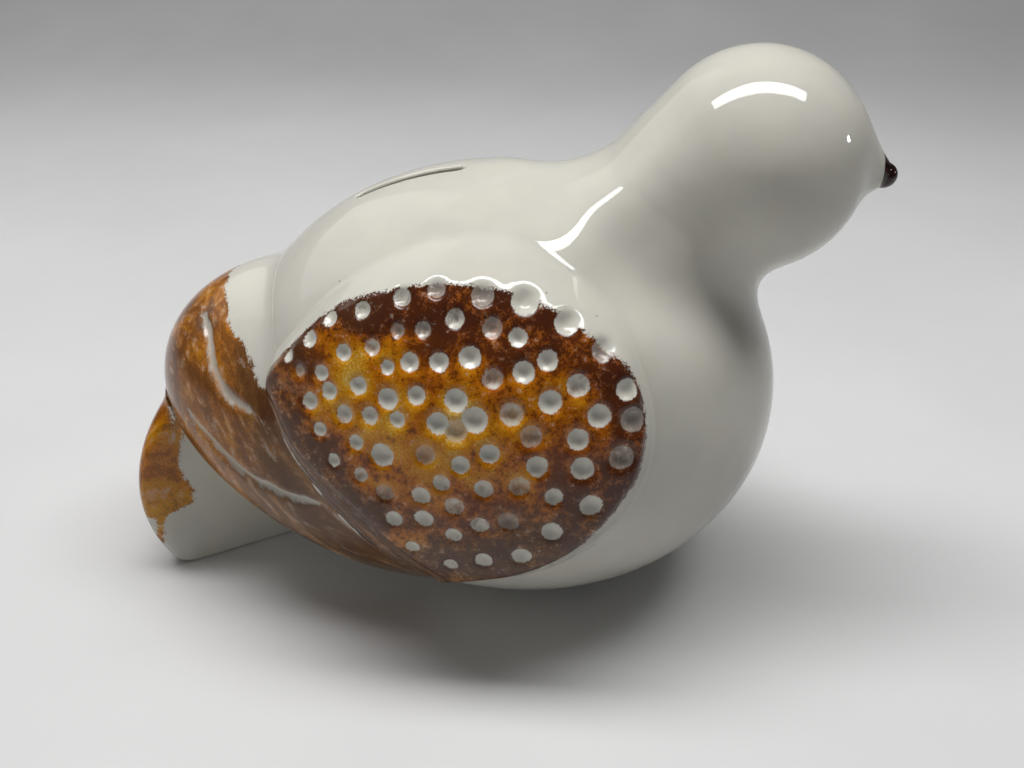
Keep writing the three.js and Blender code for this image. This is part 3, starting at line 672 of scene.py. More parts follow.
PITS = [
    (-24.5, 126.5, 2.7), (-14.6, 129.3, 2.7), (-1.3, 128.8, 3.2), (10.6, 127.7, 3.6),
    (22.4, 122.6, 3.2), (32.8, 115.6, 3.2), (40.1, 105.3, 2.9), (42.2, 97.0, 3.5),
    (39.7, 86.4, 3.5), (28.9, 83.8, 3.3), (31.6, 71.7, 3.2), (20.5, 62.4, 3.0),
    (11.5, 52.2, 2.9), (-0.1, 49.1, 2.7), (-10.6, 45.0, 2.3), (-36.3, 122.0, 2.6),
    (-25.5, 118.9, 2.3), (-18.0, 120.0, 2.5), (-8.8, 123.3, 2.8), (1.9, 121.9, 3.0),
    (9.3, 119.7, 2.6), (17.8, 114.1, 2.8), (26.6, 107.5, 3.2), (32.9, 99.0, 3.2),
    (27.3, 92.7, 3.0), (16.0, 84.9, 3.1), (20.9, 74.9, 2.7), (7.7, 65.7, 3.2),
    (-0.8, 63.5, 2.8), (-9.1, 58.4, 2.6), (-22.1, 51.4, 2.3), (-46.5, 118.0, 2.4),
    (-52.9, 111.5, 2.4), (-41.9, 110.7, 2.4), (-33.1, 113.7, 2.5), (-21.6, 111.6, 2.7),
    (-13.0, 112.6, 2.8), (-4.1, 114.5, 3.0), (2.6, 109.4, 3.0), (11.3, 111.3, 3.0),
    (19.1, 103.5, 3.2), (14.1, 93.9, 3.2), (2.2, 88.5, 2.9), (10.9, 78.4, 3.1),
    (0.5, 77.0, 2.9), (-8.4, 69.9, 3.0), (-17.9, 63.7, 2.8), (-27.2, 62.0, 2.7),
    (-60.6, 104.9, 2.1), (-56.3, 102.2, 2.0), (-49.2, 103.7, 2.4), (-28.3, 109.4, 2.3),
    (-37.2, 102.9, 2.6), (-28.0, 101.0, 3.1), (-19.4, 103.2, 2.7), (-7.7, 103.1, 3.2),
    (8.3, 100.1, 3.4), (-2.2, 98.1, 3.6), (-7.6, 94.4, 3.4), (-12.9, 96.2, 3.2),
    (-25.1, 95.7, 2.5), (-33.7, 95.2, 2.7), (-41.9, 93.8, 2.8), (-46.8, 99.3, 2.6),
    (-53.4, 94.5, 2.7), (-50.0, 86.9, 2.2), (-38.2, 86.1, 2.4), (-30.0, 83.8, 3.4),
    (-16.6, 86.3, 3.1), (-6.3, 84.4, 2.7), (-12.1, 77.7, 2.7), (-18.4, 72.3, 2.8),
    (-29.7, 71.2, 2.8), (-37.0, 75.8, 2.4), (-45.4, 78.5, 2.0),
]
PIT_GROWTH = 1.14
PIT_DEPTH, PIT_WIDTH = 0.62, 0.80
PIT_SEED = 7
PIT_EDGE_SPREAD = 0.3
FOLD_HEIGHT, FOLD_SINK, FOLD_PITCH, FOLD_LEAN = 0.30, 0.1, 1.15, 0.05
CREASE_DEPTH, CREASE_WIDTH = 0.55, 1.3
PAD_PROUD, PAD_SKIRT, PAD_BACK = 0.02, 0.8, 1.6    # of the wall that carries the pad
PAD_BACK_RINGS = ((0.985, 360), (0.96, 180), (0.9, 90), (0.7, 90), (0.4, 90), (0.15, 90))
FAR_OFF = -20.0          # the distance inside paint, a pit or a groove where there is none
PIT_STEEPNESS = 2.5
PAD_FEWEST_COLUMNS, PAD_THINS_OUT = 45, 0.75
CURVE_STEPS = 24         # between two given points
EDGE_POINTS, STREAK_POINTS, RIM_POINTS, LINE_POINTS = 700, 300, 900, 400
POINTS_AT_ONCE = 4000


def smooth_loop(points, count, closed=True):
    """Evenly spaced points on a Catmull-Rom curve through the given ones."""
    p = np.asarray(points, float)
    before = p[-1:] if closed else 2 * p[:1] - p[1:2]
    after = p[:2] if closed else 2 * p[-1:] - p[-2:-1]
    p = np.concatenate([before, p, after])
    a, b, c, d = p[:-3, None], p[1:-2, None], p[2:-1, None], p[3:, None]
    t = np.linspace(0, 1, CURVE_STEPS, endpoint=False)[:, None]
    out = 0.5 * (2 * b + (c - a) * t + (2 * a - 5 * b + 4 * c - d) * t**2
                 + (3 * b - a - 3 * c + d) * t**3)
    out = np.concatenate([out.reshape(-1, p.shape[1]), p[-2:-1]])
    run = np.concatenate([[0], np.cumsum(np.linalg.norm(np.diff(out, axis=0), axis=1))])
    at = np.linspace(0, run[-1], count, endpoint=not closed)
    return np.column_stack([np.interp(at, run, out[:, k]) for k in range(out.shape[1])])


def on_side(plan, field=body):
    """Points of the right side at given x and z."""
    plan = np.asarray(plan, float)
    start = np.column_stack([plan[:, 0], np.zeros(len(plan)), plan[:, 1]])
    return leave_at(field, start, RIGHT)


def distance_to(points, line):
    """Least distance from each point to a row of points."""
    out = np.empty(len(points))
    for i in range(0, len(points), POINTS_AT_ONCE):
        part = points[i:i + POINTS_AT_ONCE]
        d = part[:, None] - line[None]
        out[i:i + POINTS_AT_ONCE] = np.sqrt((d * d).sum(-1).min(1))
    return out


def under_relief(plan):
    """Points of the body under given x and z of the raised pad."""
    raised = on_side(plan, lambda p: body(p) - PAD_RELIEF)
    return raised - gradient(body, raised) * PAD_RELIEF


def ramp(share):
    """From 0 to 1 along a straight slope with a round start and end."""
    s = np.clip(share, 0, 1)
    slope = 1 / (1 - FOOT_EASE / 2 - CROWN_EASE / 2)
    low = slope * s * s / (2 * FOOT_EASE)
    high = 1 - slope * (1 - s) ** 2 / (2 * CROWN_EASE)
    middle = slope * (s - FOOT_EASE / 2)
    return np.where(s < FOOT_EASE, low, np.where(s > 1 - CROWN_EASE, high, middle))


def pit_shape(points):
    """Depth of the pits, the distance in from the nearest pit's edge, and that pit's number."""
    centres = under_relief([(x, z) for x, z, _ in PITS])
    radii = np.array([r for _, _, r in PITS]) * PIT_GROWTH
    bowl = np.zeros(len(points))
    edge = np.full(len(points), -np.inf)
    owner = np.zeros(len(points), int)
    for i, (centre, r) in enumerate(zip(centres, radii)):
        d = np.linalg.norm(points - centre, axis=1)
        bowl = np.maximum(bowl, PIT_DEPTH * r * np.exp(-(d / (PIT_WIDTH * r)) ** PIT_STEEPNESS))
        owner = np.where(r - d > edge, i, owner)
        edge = np.maximum(edge, r - d)
    return bowl, edge, owner


# Where the sponged colour lies on a pad: x, z, tone from dark to pale, and greyness
ZONES = [
    (-56, 107, 0.08, 0.7), (-45, 116, 0.06, 0.6), (-30, 123, 0.08, 0.4), (-10, 127, 0.05, 0.1),
    (8, 126, 0.05, 0.1), (25, 119, 0.12, 0.1), (38, 107, 0.14, 0.1), (44, 92, 0.12, 0.1),
    (40, 79, 0.12, 0.4), (-15, 118, 0.24, 0.0), (6, 116, 0.18, 0.0), (23, 109, 0.36, 0.0),
    (33, 94, 0.36, 0.0), (-43, 105, 0.70, 0.0), (-52, 96, 0.60, 0.1), (-36, 93, 0.60, 0.0),
    (-20, 107, 0.48, 0.0), (0, 108, 0.38, 0.0), (13, 101, 0.42, 0.0), (-24, 92, 0.58, 0.0),
    (-9, 95, 0.66, 0.0), (6, 90, 0.56, 0.0), (20, 90, 0.38, 0.0), (-26, 77, 0.54, 0.1),
    (-10, 79, 0.54, 0.0), (8, 78, 0.50, 0.0), (24, 76, 0.30, 0.2), (-22, 64, 0.47, 0.3),
    (-4, 66, 0.34, 0.3), (12, 64, 0.24, 0.7), (-14, 49, 0.14, 0.9), (6, 52, 0.12, 0.9),
    (28, 68, 0.14, 0.7), (-69, 95, 0.05, 0.8), (-61, 86, 0.08, 0.8),
    (-52, 73, 0.12, 0.8), (-41, 62, 0.14, 0.8), (-62, 93, 0.08, 0.7), (-48, 77, 0.22, 0.5),
    (-32, 59, 0.22, 0.6),
]
ZONE_REACH = 8.0


def zone_values(points):
    weight = np.zeros(len(points))
    tone, grey = np.zeros(len(points)), np.zeros(len(points))
    for x, z, t, g in ZONES:
        d2 = (points[:, 0] - x) ** 2 + (points[:, 2] - z) ** 2
        w = np.exp(-d2 / ZONE_REACH**2) + 1e-9 / (1 + d2)
        weight += w
        tone += w * t
        grey += w * g
    return tone / weight, grey / weight


def pad_rings(dirs):
    """Rings of directions from the pad's rim in to its middle, with fewer points near it."""
    rings, columns = [], PAD_COLUMNS
    for share in np.linspace(1, 0, PAD_RINGS + 1)[:-1]:
        enough = max(PAD_FEWEST_COLUMNS, PAD_COLUMNS * share / PAD_THINS_OUT)
        while columns > enough and columns % 2 == 0:
            columns //= 2
        pick = dirs[::PAD_COLUMNS // columns]
        rings.append(unit(between(RIGHT, pick, share)))
    return rings + [RIGHT[None]]


def pad_height(base, from_rim):
    """How high the pad's plain relief stands over the wall, without pits and folds."""
    line = under_relief(smooth_loop(PLATEAU_EDGE, EDGE_POINTS))
    off = distance_to(base, line)
    inner = np.where(inside_polygon(base[:, [0, 2]], line[:, [0, 2]]), off, 0)
    off[inner > 0] = 0
    crown = PAD_RELIEF + PAD_LIP * np.exp(-(inner / LIP_WIDTH) ** 2)
    return crown * ramp(from_rim / (from_rim + off + 1e-6))


def streak_distance(base):
    """How far each point lies under the line where the sponged colour turns to streaks."""
    line = under_relief(smooth_loop(STREAK_EDGE, STREAK_POINTS, closed=False))
    order = np.argsort(line[:, 0])
    below = base[:, 2] < np.interp(base[:, 0], line[order, 0], line[order, 2])
    return distance_to(base, line) * np.where(below, 1, -1)


def fold_height(base, from_rim, streak):
    """The folds of the streaked edge, and the crease that parts them from the pits."""
    fold = smoothstep(streak, -1.0, 2.0) * smoothstep(from_rim, 0.5, 4.0)
    wave = np.sin(streak * FOLD_PITCH + base[:, 0] * FOLD_LEAN)
    ridge = fold * (FOLD_HEIGHT * wave - FOLD_SINK)
    crease = -CREASE_DEPTH * np.exp(-(streak / CREASE_WIDTH) ** 2)
    return ridge, crease * smoothstep(from_rim, 1.0, 5.0)


def make_pad(name, node, material, left):
    s = Surface()
    rim = on_side(smooth_loop(PAD_EDGE, PAD_COLUMNS))
    dirs = unit(rim - PAD_EYE)
    rings = pad_rings(dirs)
    base = leave_at(body, PAD_EYE, np.concatenate(rings))
    normal = gradient(body, base)
    from_rim = distance_to(base, smooth_loop(rim, RIM_POINTS))
    rise = pad_height(base, from_rim)
    depth, pit_edge, owner = pit_shape(base)
    tone, grey = zone_values(base)
    streak = streak_distance(base)
    ridge, crease = fold_height(base, from_rim, streak)
    sizes = [len(r) for r in rings]
    firsts = np.concatenate([[0], np.cumsum(sizes)])[:-1]
    numbers = [np.arange(a, a + n) for a, n in zip(firsts, sizes)]
    s.add(base + normal * (PAD_PROUD + rise - depth + ridge + crease)[:, None])
    rim_normal = gradient(body, rim)
    skirt = s.add(rim - rim_normal * PAD_SKIRT)
    s.rings(numbers[0], skirt, False)
    join(s, numbers[:-1])
    s.fan(numbers[-2], numbers[-1][0])
    # the hidden back, in under the body's surface
    back = [skirt]
    for share, size in PAD_BACK_RINGS:
        at = leave_at(body, PAD_EYE, unit(between(RIGHT, dirs[::PAD_COLUMNS // size], share)))
        back.append(s.add(at - gradient(body, at) * PAD_BACK))
    join(s, back, False)
    s.fan(back[-1], s.add(base[-1:] - normal[-1:] * PAD_BACK)[0], False)
    points = s.all_points()
    skin = [f for f, k in zip(s.faces, s.skin) if k]
    hidden = [tuple(reversed(f)) for f, k in zip(s.faces, s.skin) if not k]
    s.faces = skin + hidden
    s.skin = [True] * len(skin) + [False] * len(hidden)
    normals = face_normals_at_points(points, skin)
    normals[numbers[0]] = unit(normals[numbers[0]] + 2 * rim_normal)
    line = under_relief(smooth_loop(PAINT_EDGE, EDGE_POINTS))
    sign = np.where(inside_polygon(base[:, [0, 2]], line[:, [0, 2]]), 1, -1)
    tint = np.random.default_rng(PIT_SEED).random(len(PITS))[owner]
    for key, values, rest in (
            ("paint", distance_to(base, line) * sign, FAR_OFF),
            ("pit", pit_edge - tint * PIT_EDGE_SPREAD, FAR_OFF), ("tint", tint, 0),
            ("tone", tone, 0), ("grey", grey, 0), ("streak", smoothstep(streak, -1.5, 1.5), 0),
            ("groove", [], FAR_OFF), ("across", streak, 0),
            ("along", base[:, 0] * 0.7 - base[:, 2] * 0.7, 0)):
        s.values[key] = spread(values, len(points), rest)
    return make_side(name, s, points, normals, material, node, left)


# Feather bands

GROOVES = [
    [(-101.6, -17.5, 102.3), (-97.4, -25.4, 99.5), (-95.3, -31, 95.4), (-93.3, -35.5, 90.8),
     (-90, -39.5, 86.8), (-87.7, -41.4, 84.7), (-83.9, -43.7, 82.9), (-79.2, -45.8, 81.4),
     (-75.5, -47.3, 80.2)],
    [(-103, -34, 73.5), (-97.7, -40.2, 68.2), (-89.2, -44.9, 61.4), (-79.1, -48.7, 55.8),
     (-74, -50.4, 54.9), (-67.3, -52, 52.7), (-53, -55.8, 52.6)],
]
BAND_PAINT_TOP = [(-96.1, -1.5, 109.6), (-92.9, -16.7, 107.4), (-89.6, -23.1, 105.3),
                  (-87.4, -28.8, 102), (-82.8, -33.5, 99.4), (-77.5, -39.5, 94.4),
                  (-75.6, -42.8, 90.2)]
BAND_COLUMNS, BAND_ROWS = 280, 124
BAND_PROUD, BAND_SKIRT, BAND_BACK = 0.025, 0.9, 2.2    # of the surface of the band's form
BAND_BACK_SHARES = (1.0, 0.8, 0.6, 0.4, 0.2, 0.02)
GROOVE_WIDTH, GROOVE_DEPTH = 1.9, 1.25
EDGE_STEPS, EDGE_HALVINGS = 1400, 22
EDGE_TILT = np.pi * 0.66     # past the band's edge all the way round
EDGE_SUNK = 0.02             # the band ends where it stands less than this over the body
BAND_FIRST_SHARE = 0.012
BAND_PAINT_LOW = 14          # over this height the paint's top edge runs out below its line
BAND_STREAK_RADIUS = 48
REAR = np.array([-np.cos(RUMP_TILT), 0.0, -np.sin(RUMP_TILT)])
OVER = np.array([-np.sin(RUMP_TILT), 0.0, np.cos(RUMP_TILT)])


def band_dirs(turn, tilt):
    return (np.cos(tilt)[:, None] * REAR + np.sin(tilt)[:, None]
            * (np.cos(turn)[:, None] * OVER + np.sin(turn)[:, None] * RIGHT))


def on_band(points):
    """Where lines from the rump's middle through the points leave the band's form."""
    return leave_at(band_form, RUMP_AT, unit(points - RUMP_AT))


def band_back(p):
    return band_form(p) + BAND_BACK


def band_edge():
    """Directions from the rump's middle to the band's edge, from the top round to the rear."""
    turn = np.linspace(0, np.pi, EDGE_STEPS)
    low, high = np.zeros(EDGE_STEPS), np.full(EDGE_STEPS, EDGE_TILT)
    for _ in range(EDGE_HALVINGS):
        tilt = (low + high) / 2
        dirs = band_dirs(turn, tilt)
        at = leave_at(band_form, RUMP_AT, dirs)
        past = body(at) < EDGE_SUNK
        high = np.where(past, tilt, high)
        low = np.where(past, low, tilt)
    edge = leave_at(band_form, RUMP_AT, band_dirs(turn, low))
    run = np.concatenate([[0], np.cumsum(np.linalg.norm(np.diff(edge, axis=0), axis=1))])
    at = np.linspace(0, run[-1], BAND_COLUMNS)
    return band_dirs(np.interp(at, run, turn), np.interp(at, run, low))


def groove_shape(points):
    depth = np.zeros(len(points))
    mask = np.full(len(points), FAR_OFF)
    for line in GROOVES:
        curve = on_band(smooth_loop(line, LINE_POINTS, closed=False))[::2]
        d = np.sqrt(((points[:, None, :] - curve[None]) ** 2).sum(-1))
        share = d.argmin(1) / (len(curve) - 1)
        d = d.min(1)
        taper = np.minimum(share, 1 - share) * 5
        width = GROOVE_WIDTH * np.minimum(1, taper + 0.25)
        deep = GROOVE_DEPTH * np.minimum(1, taper)
        depth = np.maximum(depth, deep * np.exp(-(d / width) ** 2))
        mask = np.maximum(mask, width * 1.05 - d)
    return depth, mask


def flat_end(surface, top_line, low_line, turn):
    """Closes the band on the middle plane, between the line of its skin and that of its back."""
    run = np.linspace(0, len(low_line) - 1, len(top_line))
    for i in range(len(top_line) - 1):
        a, b = int(round(run[i])), int(round(run[i + 1]))
        quad = [top_line[i], top_line[i + 1], low_line[b]]
        if a != b:
            quad.append(low_line[a])
        surface.face([quad[::-1] if turn else quad], False)


def band_paint(base, crease):
    """How far each point lies inside the edge of the band's colour."""
    line = on_band(smooth_loop(BAND_PAINT_TOP, LINE_POINTS, closed=False))
    order = np.argsort(line[:, 2])
    limit = np.interp(base[:, 2], line[order, 2], egg(line[order]))
    below = line[:, 2].min() - base[:, 2]
    low = smoothstep(below, 0, BAND_PAINT_LOW)
    limit = limit * (1 - low) - BAND_PAINT_LOW * low
    return np.minimum(crease - limit, 1.5 - under_band(base))


def make_band(name, node, material, left):
    s = Surface()
    end = band_edge()
    shares = np.linspace(BAND_FIRST_SHARE, 1, BAND_ROWS)
    grid = arcs(band_form, RUMP_AT, REAR, end, shares)
    base, rim = grid.reshape(-1, 3), grid[-1]
    depth, groove = groove_shape(base)
    edge_share = np.repeat(smoothstep(shares, 0.9, 1.0), BAND_COLUMNS)
    proud = BAND_PROUD - depth * (1 - edge_share)
    s.add(base + gradient(band_form, base) * proud[:, None])
    pole = s.add(leave_at(band_form, RUMP_AT, REAR[None]))[0]
    numbers = np.arange(len(base)).reshape(BAND_ROWS, BAND_COLUMNS)
    join(s, numbers, turn_in=True, closed=False)
    s.fan(numbers[0][::-1], pole, closed=False)
    skirt = s.add(rim - gradient(band_form, rim) * BAND_SKIRT)
    s.rings(skirt, numbers[-1], False, closed=False)
    deep = [s.add(row) for row in arcs(band_back, RUMP_AT, REAR, end, BAND_BACK_SHARES)]
    join(s, [skirt] + deep, False, True, False)
    deep_pole = s.add(leave_at(band_back, RUMP_AT, REAR[None]))[0]
    s.fan(deep[-1], deep_pole, False, closed=False)
    for column in (0, BAND_COLUMNS - 1):
        top_line = [skirt[column], *numbers[::-1, column], pole]
        low_line = [ring[column] for ring in deep] + [deep_pole]
        flat_end(s, top_line, low_line, column == 0)
    points = s.all_points()
    normals = face_normals_at_points(points, [f for f, k in zip(s.faces, s.skin) if k])
    normals[np.abs(points[:, 1]) < 1e-6, 1] = 0
    normals[pole] = REAR
    crease = egg(base)
    around = np.arctan2(-base[:, 1], (base - RUMP_AT) @ OVER)
    front = smoothstep(base[:, 0], -92, -66)
    for key, values, rest in (
            ("paint", band_paint(base, crease), FAR_OFF), ("pit", [], FAR_OFF),
            ("groove", groove, FAR_OFF), ("across", crease, 0),
            ("along", around * BAND_STREAK_RADIUS, 0), ("streak", np.ones(len(base)), 0),
            ("tone", 0.46 - 0.06 * front, 0), ("grey", 0.52 + 0.3 * front, 0)):
        s.values[key] = spread(values, len(points), rest)
    return make_side(name, s, points, unit(normals), material, node, left)


# Tail

TAIL_EYE = np.array([-110.8, 0.0, 29.9])
TAIL_ROWS = 150
TAIL_PAINT_X = -116.2
TAIL_PAINT_Z, TAIL_PAINT_RISE = 23.5, 0.35
TAIL_BULGE, TAIL_BULGE_Z, TAIL_BULGE_REACH = 2.2, 31, 7.0
TAIL_BARE_X = -124
STRIPE_X, STRIPE_LEAN, STRIPE_HALF = -131.0, 0.28, 1.6    # of the stroke along the lower edge


def tail_paint(p):
    """How far each point lies inside the tail's colour."""
    bulge = TAIL_BULGE * np.exp(-((p[:, 2] - TAIL_BULGE_Z) / TAIL_BULGE_REACH) ** 2)
    rearward = TAIL_PAINT_X + bulge - p[:, 0]
    above = p[:, 2] - TAIL_PAINT_Z - TAIL_PAINT_RISE * np.maximum(p[:, 0] - TAIL_BARE_X, 0)
    stripe = STRIPE_HALF - np.abs(p[:, 0] - STRIPE_X - STRIPE_LEAN * p[:, 2])
    return np.maximum(np.minimum(rearward * 0.8, above), stripe * 0.9)


def make_tail(material):
    s = Surface()
    around = circle(1.0, 0.0)
    tilts = np.radians(np.linspace(-89, 88, TAIL_ROWS))
    dirs = np.concatenate([np.cos(t) * around + np.sin(t) * UP for t in tilts])
    grid = leave_at(tail_form, TAIL_EYE, dirs).reshape(TAIL_ROWS, COLUMNS, 3)
    numbers = skin_rings(s, tail_form, grid)
    join(s, numbers, turn_in=True)
    low = leave_at(tail_form, TAIL_EYE, DOWN[None])
    high = leave_at(tail_form, TAIL_EYE, UP[None])
    low_number = s.add(low, DOWN)[0]
    high_number = s.add(high, gradient(tail_form, high))[0]
    s.fan(numbers[0], low_number)
    s.fan(numbers[-1][::-1], high_number)
    p = s.all_points()
    s.values["paint"] = tail_paint(p)
    for key, value in (("pit", FAR_OFF), ("groove", FAR_OFF), ("streak", 0.85), ("grey", 0.3)):
        s.values[key] = np.full(len(p), value)
    s.values["tone"] = 0.55 + 0.16 * smoothstep(-p[:, 2], -40, -26) * (p[:, 2] > 18)
    s.values["across"] = p[:, 1] - 0.3 * p[:, 0]
    s.values["along"] = p[:, 2]
    return make_piece("tail_glazed", s, material, "tail", "bank")


# Bung

BUNG_COLUMNS = 96
HOLE_RADIUS, HOLE_TAPER, BUNG_CLEARANCE = 15.5, 20, 0.3
BUNG_LOW, BUNG_HIGH = 6.4, 17.5    # the floor of its finger hollow and its upper end


def bung_radius(z):
    return HOLE_RADIUS - z / HOLE_TAPER - BUNG_CLEARANCE


# From the middle of the finger hollow out and up: radius and height
BUNG_PROFILE = [
    (0.5, BUNG_LOW), (5.9, BUNG_LOW), (6.5, 6.32), (7.0, 6.1), (7.35, 5.7), (7.5, 5.2),
    (7.5, 2.2), (7.6, 1.8), (7.9, 1.56), (8.3, 1.5), (10.6, 1.5), (10.9, 1.62), (11.2, 1.68),
    (11.5, 1.62), (11.8, 1.5), (14.2, 1.5), (14.7, 1.6), (15.0, 1.85),
    (bung_radius(2.4), 2.4), (bung_radius(8.0), 8.0), (bung_radius(8.4) - 0.12, 8.4),
    (bung_radius(8.8), 8.8), (bung_radius(16.4), 16.4), (14.3, 17.0), (14.0, 17.35),
    (13.5, BUNG_HIGH), (8.0, BUNG_HIGH), (0.5, BUNG_HIGH),
]


def make_bung(material):
    s = Surface()
    turn = np.arange(BUNG_COLUMNS) * TAU / BUNG_COLUMNS
    rings = [s.add(np.column_stack([r * np.cos(turn), r * np.sin(turn), np.full(len(turn), z)]))
             for r, z in BUNG_PROFILE]
    join(s, rings, False, True)
    bottom = s.add([[0, 0, BUNG_LOW]])[0]
    top = s.add([[0, 0, BUNG_HIGH]])[0]
    s.fan(rings[0][::-1], bottom, False)
    s.fan(rings[-1], top, False)
    return make_piece("bung_rubber", s, material, "bung", "bung")


# Materials

class Nodes:
    """Short calls for building one material's nodes."""

    def __init__(self, name):
        self.material = bpy.data.materials.new(name)
        self.material.use_nodes = True
        self.tree = self.material.node_tree
        self.shader = self.tree.nodes["Principled BSDF"].inputs
        self.place = self.new("TexCoord", {}, "Object")

    def put(self, socket, value):
        if isinstance(value, bpy.types.NodeSocket):
            self.tree.links.new(value, socket)
        elif isinstance(value, tuple) and len(value) == 3 and len(socket.default_value) == 4:
            socket.default_value = (*value, 1)
        else:
            socket.default_value = value

    def new(self, kind, inputs, output=0, **settings):
        """One output of a new node, whose inputs are given by name or number."""
        node = self.tree.nodes.new("ShaderNode" + kind)
        for key, value in settings.items():
            setattr(node, key, value)
        for key, value in inputs.items():
            self.put(node.inputs[key], value)
        return node.outputs[output]

    def math(self, operation, *values):
        return self.new("Math", dict(enumerate(values)), operation=operation)

    def add(self, *values):
        total = values[0]
        for value in values[1:]:
            total = self.math("ADD", total, value)
        return total

    def times(self, a, b):
        return self.math("MULTIPLY", a, b)

    def swing(self, noise, weight):
        """Noise moved to lie about zero, times a weight."""
        return self.times(self.add(noise, -0.5), weight)

    def step(self, value, low, high, to_low=0.0, to_high=1.0):
        inputs = {"Value": value, "From Min": low, "From Max": high,
                  "To Min": to_low, "To Max": to_high}
        return self.new("MapRange", inputs, interpolation_type="SMOOTHSTEP")

    def mix(self, share, a, b):
        return self.new("Mix", {0: share, 6: a, 7: b}, 2, data_type="RGBA")

    def blend(self, share, a, b):
        return self.new("Mix", {0: share, 2: a, 3: b}, data_type="FLOAT")

    def scaled(self, vector, scale, shift=(0, 0, 0)):
        return self.new("Mapping", {"Vector": vector, "Scale": (scale,) * 3, "Location": shift})

    def noise(self, size, detail=2.0, rough=0.5, vector=None, shift=(0, 0, 0), warp=0.0):
        """Noise whose features are about size millimetres."""
        scale = 1000.0 / size if vector is None else 1.0 / size
        place = self.scaled(self.place if vector is None else vector, scale, shift)
        return self.new("TexNoise", {"Vector": place, "Scale": 1.0, "Detail": detail,
                                     "Roughness": rough, "Distortion": warp}, "Fac")

    def value(self, name):
        return self.new("Attribute", {}, "Fac", attribute_name=name)

    def ramp(self, share, stops):
        ramp = self.new("ValToRGB", {0: share})
        elements = ramp.node.color_ramp.elements
        while len(elements) < len(stops):
            elements.new(0.5)
        for element, (at, colour) in zip(elements, stops):
            element.position = at
            element.color = (*colour, 1)
        return ramp

    def bump(self, height, millimetres, below=None):
        inputs = {"Strength": 1.0, "Distance": millimetres * MM, "Height": height}
        if below is not None:
            inputs["Normal"] = below
        return self.new("Bump", inputs, "Normal")


WHITE = (0.68, 0.66, 0.585)
WHITE_POOLED = (0.59, 0.58, 0.515)
WHITE_WARM = (0.69, 0.645, 0.55)
IRON_SPECK = (0.16, 0.11, 0.08)
SPECK_APART = 13.0
GLAZE_IOR = 1.43
CLAY = [(0.3, (0.50, 0.42, 0.33)), (0.7, (0.66, 0.58, 0.48))]
DIP = [(0.35, (0.012, 0.005, 0.004)), (0.7, (0.05, 0.012, 0.009))]
RUBBER = [(0.3, (0.014, 0.014, 0.015)), (0.75, (0.034, 0.033, 0.032))]


def white_colour(n):
    """Glaze over pale clay: faint clouds and a few small specks."""
    cloud = n.step(n.noise(26, 3, 0.55), 0.36, 0.66)
    colour = n.mix(n.times(cloud, 0.45), WHITE, WHITE_POOLED)
    warm = n.step(n.noise(11, 2, 0.5, shift=(7, 3, 1)), 0.45, 0.7)
    colour = n.mix(n.times(warm, 0.3), colour, WHITE_WARM)
    inputs = {"Vector": n.scaled(n.place, 1000 / SPECK_APART), "Scale": 1.0}
    distance = n.new("TexVoronoi", inputs, "Distance", feature="F1")
    red = n.new("SeparateColor", {0: distance.node.outputs["Color"]})
    near = n.step(distance, 0.016, 0.030, 1.0, 0.0)
    chosen = n.math("GREATER_THAN", red, 0.72)
    return n.mix(n.times(n.times(near, chosen), 0.75), colour, IRON_SPECK)


def glaze_surface(n, extra=None, extra_height=0.0):
    """A thick glossy coat that is never quite even."""
    n.put(n.shader["IOR"], GLAZE_IOR)
    n.put(n.shader["Roughness"], n.step(n.noise(9, 3, 0.6, shift=(2, 9, 4)), 0.35, 0.7, 0.02, 0.05))
    wave = n.bump(n.noise(22, 1.5, 0.4), 0.42)
    wave = n.bump(n.noise(6.5, 1.0, 0.4, shift=(3, 5, 9)), 0.035, wave)
    if extra is not None:
        wave = n.bump(extra, extra_height, wave)
    n.put(n.shader["Normal"], wave)


def white_material():
    n = Nodes("white_glaze")
    bare = n.value("bare")
    clay = n.ramp(n.noise(1.2, 4, 0.7), CLAY)
    n.put(n.shader["Base Color"], n.mix(bare, white_colour(n), clay))
    glaze_surface(n)
    gloss = n.shader["Roughness"].links[0].from_socket
    n.put(n.shader["Roughness"], n.blend(bare, gloss, 0.85))
    return n.material


def beak_material():
    n = Nodes("beak_glaze")
    edge = n.add(n.value("tip"), n.times(n.noise(3.0, 2, 0.5), 0.5), -0.25)
    dark = n.step(edge, -0.1, 0.35)
    brown = n.ramp(n.noise(2.2, 2, 0.5), DIP)
    n.put(n.shader["Base Color"], n.mix(dark, white_colour(n), brown))
    glaze_surface(n)
    return n.material


PAINT_TONES = [
    (0.00, (0.190, 0.062, 0.022)), (0.22, (0.290, 0.074, 0.007)), (0.40, (0.44, 0.120, 0.003)),
    (0.58, (0.54, 0.190, 0.004)), (0.74, (0.60, 0.255, 0.008)), (0.88, (0.65, 0.345, 0.030)),
    (1.00, (0.69, 0.450, 0.130)),
]
BROWN_TONES = [
    (0.00, (0.130, 0.050, 0.014)), (0.25, (0.230, 0.098, 0.025)), (0.50, (0.36, 0.175, 0.052)),
    (0.75, (0.49, 0.280, 0.100)), (1.00, (0.60, 0.450, 0.280)),
]
DARK_SPECKS = ((0.050, 0.012, 0.006), (0.150, 0.034, 0.003))    # in dark and in bright zones
BROWN_SPECKS = (0.082, 0.032, 0.016)
STREAK_STRETCH = 0.28


